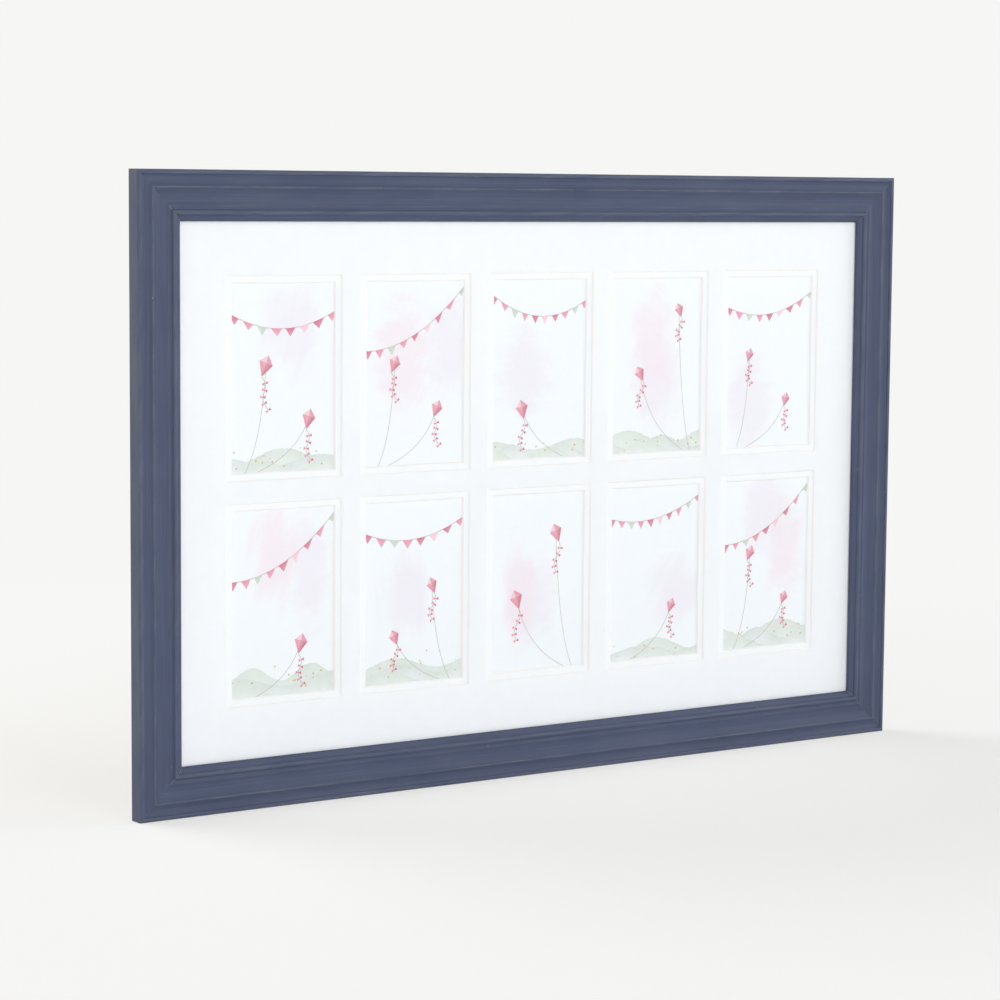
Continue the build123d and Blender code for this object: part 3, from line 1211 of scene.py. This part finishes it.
@dataclass
class KitePrint:
    """A print of kites and bunting over rolling hills, in loose washes of colour."""

    row: int
    column: int
    windows: Windows
    cell: float = 1.25
    sheet_setback: float = 0.08
    ink_lift: float = 0.012
    overlap: float = 0.1
    cockle: float = 0.3
    hill_gap: float = 1.0
    line_gap: float = 2.0
    string_gap: float = 3.0
    string_width: float = 0.42
    spar_width: float = 0.3
    bow_reach: float = 2.3
    bow_half: float = 1.2
    kite_spread: float = 0.36
    kite_foot: float = 0.64
    tail_share: float = 1.5
    dots: int = 14
    dot_sides: int = 14
    first_seed: int = 500

    def __post_init__(self) -> None:
        """Read the sheet's place and seed its own design."""
        self.node = self.windows.node(self.row, self.column)
        self.block = Block.of(self.node)
        self.number = self.row * COLUMNS + self.column
        self.rng = np.random.default_rng(self.first_seed + self.number)
        self.half = self.block.size[[0, 2]] / 2.0
        self.open_half = self.half - self.windows.lap
        self.shell = Shell()

    def build(self, paper: Material) -> None:
        """Wash the sheet, then lay hills, bunting and kites over it.

        Args:
            paper: Finish of the print.
        """
        self.sheet()
        if self.number % 3 != 1:
            self.flecks(self.hills())
        if self.number % 2 == 0:
            ends = self.rng.uniform(0.62, 0.92, 2) * self.open_half[1]
            self.bunting(ends, self.rng.uniform(10.0, 18.0), 8 + self.number % 3)
        if self.number % 4 == 1:
            self.bunting(self.open_half[1] * np.array([0.25, 1.0]), 14.0, 9)
        lean = 1.0 if self.number % 4 < 2 else -1.0
        low, high = (-0.12, 0.62) if self.number % 4 == 3 else (-0.42, 0.12)
        places = np.array([(lean * 0.42, low), (-lean * 0.4, high)]) * self.open_half
        kites = list(zip(places, self.rng.uniform(11.0, 17.0, 2)))
        for place, size in kites[: 1 + (self.number + 1) % 3]:
            centre = place + self.rng.uniform(-4.0, 4.0, 2)
            self.kite(centre, size, -lean * self.rng.uniform(0.2, 0.5))
        self.shell.piece(self.node, "print", [paper], "photo_paper")

    def raised(self, flat: Array, layer: float) -> Array:
        """Place plan points on the sheet.

        The paper swells forward inside the window by a product of two cosine bumps, and each layer of
        ink lies a hair above the last.

        Args:
            flat: Places across and up from the middle of the sheet, with 2 as the last size.
            layer: The ink layer, less than 0 for depths below the paper.

        Returns:
            Places with 3 as the last size.
        """
        share = np.clip(flat / self.open_half, -1.0, 1.0)
        swell = np.prod(np.cos(share * math.pi / 2.0) ** 2, axis=-1)
        wave = 0.6 + 0.4 * np.sin(flat[..., 1] / 17.0 + self.number)
        depth = self.block.low[1] + self.sheet_setback - self.ink_lift * layer - self.cockle * swell * wave
        centre = self.block.centre
        return join(centre[0] + flat[..., 0], depth, centre[2] + flat[..., 1])

    def sheet(self) -> None:
        """Paper with soft washes: ragged ellipses whose cover fades from the middle to the rim."""
        across, up = (np.linspace(-half, half, int(2.0 * half / self.cell)) for half in self.half)
        flat = join(across, up[:, None])
        ink = np.broadcast_to(Ink.PAPER.rgba, (*flat.shape[:2], 4))
        for tint in (Ink.LILAC, Ink.BLUSH)[: 1 + self.number % 2]:
            centre = self.rng.uniform(-0.5, 0.7, 2) * self.open_half
            radii = self.rng.uniform(0.45, 0.8, 2) * self.open_half
            away = np.linalg.norm((flat - centre) / radii, axis=-1)
            ragged = away + 0.16 * drift(self.rng, flat[..., 0], flat[..., 1], 34.0)
            cover = 0.6 * smooth_step(1.05, 0.35, ragged)[..., None]
            ink = ink * (1.0 - cover) + tint.rgba * cover
        front = self.raised(flat, Layer.PAPER)
        back = front.copy()
        back[..., 1] = self.block.high[1]
        self.shell.slab(front, back, ink=ink)

    def paint(self, add: Callable[..., None], flat: Array, colours: Array, layer: float) -> None:
        """Add a mark that is rooted in the paper as deep as it stands above it.

        Args:
            add: Adds the mark to the shell, as slab or plates.
            flat: Places on the sheet, of shape (rows, columns, 2).
            colours: Linear colours of a shape that fits (rows, columns, 4).
            layer: The ink layer.
        """
        tones = np.broadcast_to(colours, (*flat.shape[:2], 4))
        add(self.raised(flat, layer), self.raised(flat, -layer), ink=tones)

    def twine(self, paths: Array, width: float, layer: float) -> None:
        """Paint lines of twine: each path is widened to both sides along its normal.

        Args:
            paths: Points of the lines, of shape (lines, points, 2).
            width: Width of the lines.
            layer: The ink layer.
        """
        offset = left_of(np.gradient(paths, axis=1)) * width / 2.0
        for sides in np.stack([paths - offset, paths + offset], axis=1):
            self.paint(self.shell.slab, sides, Ink.TWINE.rgba, layer)

    def hills(self) -> float:
        """Rolling hills, each a band below a wave, palest at the bottom.

        Returns:
            Height of the highest hill's middle line.
        """
        across = np.linspace(-self.half[0] + self.hill_gap, self.half[0] - self.hill_gap, 90)
        floor = -self.half[1] + self.hill_gap
        share = np.linspace(0.0, 1.0, 9)[:, None] ** 1.6
        lift = self.rng.uniform(10.0, 17.0)
        for layer, (tint, strength) in enumerate(((Ink.SAGE, 0.85), (Ink.MOSS, 0.55), (Ink.SAGE, 0.85))):
            wave = self.rng.uniform(48.0, 90.0)
            phase = self.rng.uniform(0.0, FULL_TURN)
            crest = -self.open_half[1] + lift * (1.0 - 0.34 * layer)
            crest = crest + self.rng.uniform(3.0, 6.0) * np.sin(FULL_TURN * across / wave + phase)
            crest = crest + 0.35 * drift(self.rng, across, across, 9.0)
            flat = join(across, crest + (floor - crest) * share)
            pool = 0.5 + 0.5 * drift(self.rng, flat[..., 0], flat[..., 1], 40.0)
            cover = (0.6 - 0.5 * share + 0.16 * pool) * strength
            self.paint(self.shell.slab, flat, tint.over_paper(cover[..., None]), Layer.HILLS + layer)
        return -self.open_half[1] + lift

    def flecks(self, ground: float) -> None:
        """Scatter ochre dots over the hills, whose height is given."""
        across = self.rng.uniform(-self.open_half[0], self.open_half[0], self.dots)
        up = ground + self.rng.normal(-4.0, 4.0, self.dots)
        radii = self.rng.uniform(0.35, 0.9, self.dots)[:, None, None]
        dots = join(across, up)[:, None] + radii * circle(around(self.dot_sides))
        self.paint(self.shell.plates, dots, Ink.OCHRE.rgba, Layer.DOTS)

    def bunting(self, ends: Array, sag: float, flags: int) -> None:
        """A line of pennants that hangs across the sheet on a parabola.

        Args:
            ends: Heights of its left and right ends.
            sag: How far its middle hangs below the ends.
            flags: Number of pennants.
        """

        def line(share: Array) -> Array:
            """Places on the parabola at shares of its span."""
            up = ends[0] + (ends[1] - ends[0]) * share - 4.0 * sag * share * (1.0 - share)
            return join((self.half[0] - self.line_gap) * (2.0 * share - 1.0), up)

        self.twine(line(np.linspace(0.0, 1.0, 60))[None], self.string_width, Layer.TWINE)
        middle = (np.arange(flags) + 0.5) / flags
        reach = self.rng.uniform(0.3, 0.4, flags) / flags
        drop = self.rng.uniform(5.0, 7.0, flags)
        tip = line(middle) + join(self.rng.uniform(-0.8, 0.8, flags), -drop)
        corners = np.stack([line(middle - reach), tip, line(middle + reach)], axis=1)
        inks = (Ink.CRIMSON, Ink.ROSE, Ink.SAGE, Ink.ROSE, Ink.CRIMSON, Ink.PETAL)
        cover = np.array([0.95, 0.72, 0.88])[:, None]
        tones = np.stack([inks[flag % len(inks)].over_paper(cover) for flag in range(flags)])
        self.paint(self.shell.plates, corners, tones, Layer.FLAGS)

    def kite(self, middle: Array, size: float, tilt: float) -> None:
        """A kite with spars, a string that leaves the sheet below and a tail of bows.

        Args:
            middle: Place where the spars cross.
            size: Length of the kite.
            tilt: How far it leans to the left, in radians.
        """
        across = np.array([math.cos(tilt), math.sin(tilt)])
        upright = np.array([-math.sin(tilt), math.cos(tilt)])
        head, side = self.kite_spread * upright, self.kite_spread * across
        tips = middle + size * np.stack([head, side, -self.kite_foot * upright, -side])
        self.string(middle, math.copysign(self.open_half[0] * 0.8, tilt))
        self.tail(tips[2], self.tail_share * size, tilt)
        cover = np.array([0.7, 1.0, 0.9])[:, None]
        for panel, ink in enumerate((Ink.ROSE, Ink.CRIMSON, Ink.ROSE, Ink.PETAL)):
            corners = np.stack([middle, tips[panel], tips[(panel + 1) % 4]])[None]
            self.paint(self.shell.plates, corners, ink.over_paper(cover), Layer.PANELS + self.overlap * panel)
        self.twine(np.stack([tips[[0, 2]], tips[[1, 3]]]), self.spar_width, Layer.SPARS)

    def string(self, top: Array, foot: float) -> None:
        """String that sags from a kite as a quadratic curve.

        Args:
            top: Place where the spars cross.
            foot: Place across the sheet where the string leaves it.
        """
        share = np.linspace(0.0, 1.0, 40)[:, None]
        end = np.array([foot, -self.half[1] + self.string_gap])
        pull = np.array([top[0] * 0.8 + foot * 0.2, end[1] + (top[1] - end[1]) * 0.25])
        curve = top * (1.0 - share) ** 2 + 2.0 * pull * share * (1.0 - share) + end * share**2
        self.twine(curve[None], self.string_width * 0.8, Layer.TWINE)

    def tail(self, top: Array, length: float, tilt: float) -> None:
        """Waving tail with pairs of small triangles as bows.

        Args:
            top: Lower tip of the kite.
            length: Length of the tail.
            tilt: Lean of the kite, which the tail swings against.
        """
        share = np.linspace(0.0, 1.0, 31)
        swing = 2.0 * np.sin(share * 2.2 * math.pi) - tilt * length * 0.5 * share
        path = top + join(swing, -length * share)
        self.twine(path[None], self.string_width, Layer.TWINE)
        knots = path[6::6]
        way = unit(np.gradient(path, axis=0)[6::6])
        aside = left_of(way) * self.bow_reach
        for number, (ink, turn) in enumerate(((Ink.CRIMSON, 1.0), (Ink.ROSE, -1.0))):
            wing = knots + aside * turn
            wings = np.stack([knots, wing + way * self.bow_half, wing - way * self.bow_half], axis=1)
            self.paint(self.shell.plates, wings, ink.rgba, Layer.BOWS + self.overlap * number)


@dataclass
class TurnButton:
    """Stamped tear-drop plate with a pressed rib, which turns on its screw."""

    number: int
    head_radius: float = 6.5
    tip_radius: float = 3.8
    hole_radius: float = 1.68
    hole_ease: float = 0.06
    first_ring: float = 0.06
    edge_round: float = 0.24
    rib_start: float = 6.2
    rib_end: float = 13.0
    rib_radius: float = 1.3
    rib_height: float = 0.5
    thickness: float = 1.0
    hull_points: int = 2001
    rim_points: int = 120
    top_rings: int = 16
    edge_rings: int = 5

    def __post_init__(self) -> None:
        """Find the middle of the hole on the underside, the way the tip points and how far it reaches."""
        self.node = f"turn_button_{self.number}"
        block = Block.of(self.node)
        self.inward = Side.nearest(block.centre).inward
        self.pivot = block.start(self.inward) + self.inward * self.head_radius
        self.pivot[1] = block.low[1]
        self.reach = block.span(self.inward) - self.head_radius

    def outline(self) -> tuple[Array, Array]:
        """Tear-drop outline: the hull of two circles, at equal steps.

        A direction belongs to the tip circle where its cosine is above (head - tip) / distance, and to
        the head circle elsewhere.

        Returns:
            Points and outward normals, both of shape (amount, 2).
        """
        distance = self.reach - self.tip_radius
        normal = circle(np.linspace(0.0, FULL_TURN, self.hull_points))
        on_tip = normal[:, :1] > (self.head_radius - self.tip_radius) / distance
        tip = normal * self.tip_radius + np.array([distance, 0.0])
        path = np.where(on_tip, tip, normal * self.head_radius)
        point, normal = np.hsplit(evenly(np.hstack([path, normal]), self.rim_points), 2)
        return point, unit(normal)

    def build(self, steel: Material) -> None:
        """Close the plate as a ring: up the hole, out over the top, round the edge and back below.

        Args:
            steel: Finish of the plate.
        """
        outline, normals = self.outline()
        hole = unit(outline) * self.hole_radius
        quarter = np.linspace(0.0, math.pi / 2.0, self.edge_rings)
        tuck, fall = (self.edge_round * (1.0 - wave(quarter)) for wave in (np.sin, np.cos))
        over = np.linspace(self.first_ring, 1.0, self.top_rings)
        inner = outline - normals * self.edge_round
        top = hole + (inner - hole) * over[:, None, None]
        edge = outline - normals * tuck[:, None, None]
        plan = np.concatenate([[hole, hole], top, edge, edge[::-1], top[::-1]])
        flat = np.full(len(over), self.thickness)
        wall = [self.hole_ease, self.thickness - self.hole_ease]
        levels = np.concatenate([wall, flat, self.thickness - fall, fall[::-1], flat * 0.0])
        height = levels[:, None] + self.pressed(plan)
        ways = (self.inward, np.cross(Y_AXIS, self.inward), Y_AXIS)
        shell = Shell()
        shell.grid(laid(self.pivot, ways, plan[..., 0], plan[..., 1], height), wrap=(1, 1))
        shell.piece(self.node, "plate", [steel], "zinc_steel", body=self.node)

    def pressed(self, plan: Array) -> Array:
        """Height of the pressed rib: a rounded step round a line along the plate."""
        along = np.clip(plan[..., 0], self.rib_start, self.rib_end)
        away = np.hypot(plan[..., 0] - along, plan[..., 1])
        return self.rib_height * smooth_step(self.rib_radius, self.rib_radius * 0.35, away)


@dataclass
class ScrewSet:
    """Pan-head screws with a cross recess, all of one size."""

    node: str
    seats: list
    seed: int
    head_radius: float = 3.3
    head_height: float = 1.7
    rim_height: float = 0.5
    rim_ease: float = 0.12
    foot_ease: float = 0.1
    crown_share: float = 0.97
    crown_power: float = 2.6
    shank_radius: float = 1.6
    shank_length: float = 6.0
    recess_reach: float = 1.75
    recess_width: float = 0.46
    recess_depth: float = 1.05
    crown_rows: int = 26
    turns: int = 80

    def build(self, steel: Material) -> None:
        """Set a screw into each seat, its cross turned at random.

        Args:
            steel: Finish of the screws.
        """
        rng = np.random.default_rng(self.seed)
        crown = Block.of(self.node).high[1]
        shell = Shell()
        for seat in self.seats:
            self.screw(shell, np.array([seat[0], crown, seat[2]]), rng.uniform(0.0, math.pi))
        shell.piece(self.node, "heads", [steel], "zinc_steel", sharp_angle=42.0)

    def screw(self, shell: Shell, crown: Array, turned: float) -> None:
        """One screw: radius and depth of each row, carried round the axis.

        The dome falls by (r / R) to crown_power from the crown to the rim, and the cross is
        sunk into it.

        Args:
            shell: The set.
            crown: Top of the head.
            turned: How far the cross is turned, in radians.
        """
        dome = self.head_height - self.rim_height
        foot = self.head_height + self.shank_length
        share = np.linspace(0.0, 1.0, self.crown_rows)
        below = [
            (self.head_radius, dome + self.rim_ease),
            (self.head_radius, self.head_height - self.foot_ease),
            (self.head_radius * self.crown_share, self.head_height),
            (self.shank_radius, self.head_height),
            (self.shank_radius, foot),
            (0.0, foot),
        ]
        top = join(share * self.head_radius * self.crown_share, dome * share**self.crown_power)
        rows = np.concatenate([top, below])
        across, up = np.moveaxis(rows[:, :1, None] * circle(around(self.turns)), -1, 0)
        on_crown = (np.arange(len(rows)) < self.crown_rows)[:, None]
        depth = rows[:, 1:] + np.where(on_crown, self.recess(across, up, turned), 0.0)
        shell.grid(crown + join(across, -depth, up), wrap=(0, 1))

    def recess(self, across: Array, up: Array, turned: float) -> Array:
        """Depth of the cross: two arms whose floors rise from the middle to their ends.

        Args:
            across: Places across the head.
            up: Places up the head, of the same shape.
            turned: How far the cross is turned, in radians.

        Returns:
            Depths of the same shape.
        """
        first = across * math.cos(turned) + up * math.sin(turned)
        second = up * math.cos(turned) - across * math.sin(turned)
        depth = np.zeros_like(first)
        for along, aside in ((first, second), (second, first)):
            arm = smooth_step(self.recess_width * 1.25, self.recess_width * 0.75, np.abs(aside))
            arm = arm * smooth_step(self.recess_reach * 1.08, self.recess_reach * 0.86, np.abs(along))
            floor = self.recess_depth * (1.0 - 0.5 * np.abs(along) / self.recess_reach)
            depth = np.maximum(depth, arm * floor)
        return depth


@dataclass
class Hanger:
    """Curled strap on a rail with a D-ring that swings in it."""

    number: int
    wire_radius: float = 1.25
    loop_radius: float = 2.23
    screw_inset: float = 7.0
    ring_corner: float = 3.0
    corner_points: int = 14
    crown_points: int = 44
    path_step: float = 0.55
    wire_sides: int = 22
    strap_bevel: float = 0.14
    bevel_angle: float = 40.0

    def __post_init__(self) -> None:
        """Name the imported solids; the ring's is also its body."""
        self.ring = f"hanger_ring_{self.number}"
        self.strap = f"hanger_strap_{self.number}"

    def screw_seat(self) -> Array:
        """Place of the strap's screw."""
        block = Block.of(self.strap)
        inward = Side.nearest(block.centre).inward
        return block.start(inward) + inward * (self.loop_radius + self.screw_inset)

    def ring_path(self, half: float, length: float) -> Array:
        """Middle line of the ring: a bar with two round corners, two legs and a half circle.

        Args:
            half: Half of the ring's width, at the middle of the wire.
            length: Distance from the bar to the far end.

        Returns:
            Points (across, away from the bar) of shape (amount, 2), round the ring.
        """
        corner = self.ring_corner
        turn = np.linspace(0.0, math.pi / 2.0, self.corner_points)
        middle = np.array([half - corner, corner])
        right = middle + corner * circle(turn - math.pi / 2.0)
        left = middle * (-1.0, 1.0) + corner * circle(turn - math.pi)
        sweep = np.linspace(0.0, math.pi, self.crown_points)
        crown = np.array([0.0, length - half]) + half * circle(sweep)
        ring = np.concatenate([right, crown, left, right[:1]])
        return evenly(ring, int(girth_along(ring)[-1] / self.path_step))

    def build(self, steel: Material) -> None:
        """Carry a circle of wire round the ring's middle line, and dress the strap.

        Args:
            steel: Finish of ring and strap.
        """
        block = Block.of(self.ring)
        inward = Side.nearest(block.centre).inward
        across = np.cross(Y_AXIS, inward)
        length = block.span(inward) - 2.0 * self.wire_radius
        path = self.ring_path(block.span(across) / 2.0 - self.wire_radius, length)
        ahead = np.roll(path, -1, axis=0) - np.roll(path, 1, axis=0)
        wire = self.wire_radius * circle(around(self.wire_sides))
        plan = path[:, None] - left_of(ahead)[:, None] * wire[:, :1]
        bar = block.centre - inward * length / 2.0
        points = laid(bar, (across, inward, Y_AXIS), plan[..., 0], plan[..., 1], wire[:, 1])
        shell = Shell()
        shell.grid(points, wrap=(1, 1))
        self.dress_strap(steel)
        shell.piece(self.ring, "wire", [steel], "zinc_steel", body=self.ring)

    def dress_strap(self, steel: Material) -> None:
        """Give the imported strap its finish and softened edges."""
        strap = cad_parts[self.strap]
        dress(strap, steel)
        weld = strap.modifiers.new("weld", "WELD")
        weld.merge_threshold = MERGE_DISTANCE * 10.0
        bevel = strap.modifiers.new("edges", "BEVEL")
        bevel.width = self.strap_bevel * MM
        bevel.segments = 2
        bevel.limit_method = "ANGLE"
        bevel.angle_limit = math.radians(self.bevel_angle)


@dataclass(frozen=True)
class Lamp:
    """Square soft box that faces the middle of the frame: place and side in metres, power in watts."""

    name: str
    place: Triple
    side: float
    power: float

    def build(self) -> None:
        """Stand the lamp in the scene."""
        data = bpy.data.lights.new(self.name, "AREA")
        data.size = self.side
        data.energy = self.power
        lamp = add_object(self.name, data)
        lamp.location = self.place
        low, high = CAD_BOX
        lamp.rotation_mode = "QUATERNION"
        lamp.rotation_quaternion = ((low + high) / 2.0 - Vector(self.place)).to_track_quat("-Z", "Y")


@dataclass(frozen=True)
class Studio:
    """Pale floor, white surroundings, soft lights and the camera, in metres."""

    floor_half: float = 14.0
    floor_level: float = -0.0001
    floor_colour: Colour = linear(250, 250, 247)
    felt_scale: float = 60.0
    felt_depth: float = 0.0008
    floor_glow: float = 0.56
    near_glow: float = 1.085
    backdrop: Colour = linear(246, 246, 244)
    fade_start: float = 0.3
    fade_end: float = 1.6
    sky: float = 0.355
    sky_colour: Colour = (0.98, 0.99, 1.0, 1.0)
    lamps: tuple = (
        Lamp("front", (-0.3, -4.0, 0.7), 2.0, 77.0),
        Lamp("right", (3.6, -1.6, 1.4), 1.6, 47.0),
        Lamp("left_fill", (-2.9, -2.7, 1.0), 2.4, 13.0),
        Lamp("back_fill", (-1.4, 2.4, 2.0), 2.4, 68.0),
    )
    camera_place: Triple = (-1.42219, -1.94623, 0.45474)
    camera_view: Triple = (0.57119, 0.81375, -0.10747)
    camera_up: Triple = (0.05586, 0.09209, 0.99418)
    lens: float = 110.666
    shift: tuple = (0.0178, 0.02895)

    def build(self) -> None:
        """Set floor, world, lights and camera."""
        self.floor()
        self.world()
        for lamp in self.lamps:
            lamp.build()
        self.camera()
        bpy.context.scene.view_settings.view_transform = "Standard"

    def floor(self) -> None:
        """Pale floor that takes the shadow and fades into the backdrop with distance."""
        material = bpy.data.materials.new("studio_floor")
        bench = Bench(material)
        place = bench.place()
        away = bench.add("VectorMath", {0: place}, operation="LENGTH").outputs["Value"]
        far, strength = (
            bench.ramp(away, self.fade_start, self.fade_end, near, 1.0)
            for near in (self.floor_glow, self.near_glow)
        )
        felt = bench.bump(bench.noise(place, self.felt_scale), self.felt_depth, 0.12)
        matte = bench.add("BsdfDiffuse", {"Color": self.floor_colour, "Normal": felt})
        glow = bench.add("Emission", {"Color": self.backdrop, "Strength": strength})
        share = bench.maths("MULTIPLY", far, bench.any_ray(SEEN_RAYS))
        bench.output(bench.mix(share, matte, glow))
        span = np.linspace(-self.floor_half, self.floor_half, 9) / MM
        level = self.floor_level / MM
        shell = Shell()
        shell.grid(join(span, span[:, None], level))
        mesh = shell.mesh("floor", False, 30.0)
        mesh.materials.append(material)
        add_object("floor", mesh)

    def world(self) -> None:
        """Even soft light, with a white backdrop for what sees it directly."""
        world = bpy.data.worlds.new("studio")
        bench = Bench(world)
        light = bench.add("Background", {"Color": self.sky_colour, "Strength": self.sky})
        white = bench.add("Background", {"Color": self.backdrop})
        bench.output(bench.mix(bench.any_ray(SEEN_RAYS), light, white), "OutputWorld")
        bpy.context.scene.world = world

    def camera(self) -> None:
        """Camera at the photograph's viewpoint."""
        data = bpy.data.cameras.new("camera")
        data.lens = self.lens
        data.shift_x, data.shift_y = self.shift
        view = Vector(self.camera_view).normalized()
        right = view.cross(Vector(self.camera_up)).normalized()
        turned = Matrix((right, right.cross(view), -view)).transposed().to_4x4()
        camera = add_object("camera", data)
        camera.matrix_world = Matrix.Translation(self.camera_place) @ turned
        bpy.context.scene.camera = camera


def main() -> None:
    """Build every sub-assembly in order, from the rails to the hangers."""
    logging.basicConfig(level=logging.INFO, format="%(message)s")
    paint, wood = ChalkPaint().material(), BareWood().material()
    zinc = PlatedSteel("zinc_plate", linear(196, 198, 202), linear(156, 159, 164), 0.28).material()
    bright = PlatedSteel("bright_wire", linear(208, 208, 208), linear(172, 173, 174), 0.2).material()
    nail = PlatedSteel("nail_steel", linear(120, 122, 126), linear(92, 94, 98), 0.36).material()

    section = MouldingSection()
    for seed, side in enumerate(Side, start=1):
        Rail(side, section, seed).build(paint, wood)

    windows = Windows()
    paper, core = MatPaper().material(), MatCore().material()
    Mat("top_mat", windows.reveal - windows.lap, windows, bow=0.12, seed=21).build(paper, core)
    Mat("under_mat", -windows.lap, windows, bow=0.6, seed=22).build(paper, core)

    ink = PrintPaper().material()
    for row in range(ROWS):
        for column in range(COLUMNS):
            KitePrint(row, column, windows).build(ink)

    dress(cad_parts["glass_pane"], ClearGlass().material())
    dress(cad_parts["backing_board"], Hardboard().material())
    dress(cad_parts["corner_v_nails"], nail)

    buttons = [TurnButton(number) for number in range(1, BUTTONS + 1)]
    hangers = [Hanger(number) for number in range(1, HANGERS + 1)]
    for button in buttons:
        button.build(zinc)
    ScrewSet("turn_button_screws", [button.pivot for button in buttons], seed=31).build(bright)
    for hanger in hangers:
        hanger.build(bright)
    ScrewSet("hanger_screws", [hanger.screw_seat() for hanger in hangers], seed=32).build(bright)

    Studio().build()


if __name__ == "__main__":
    main()
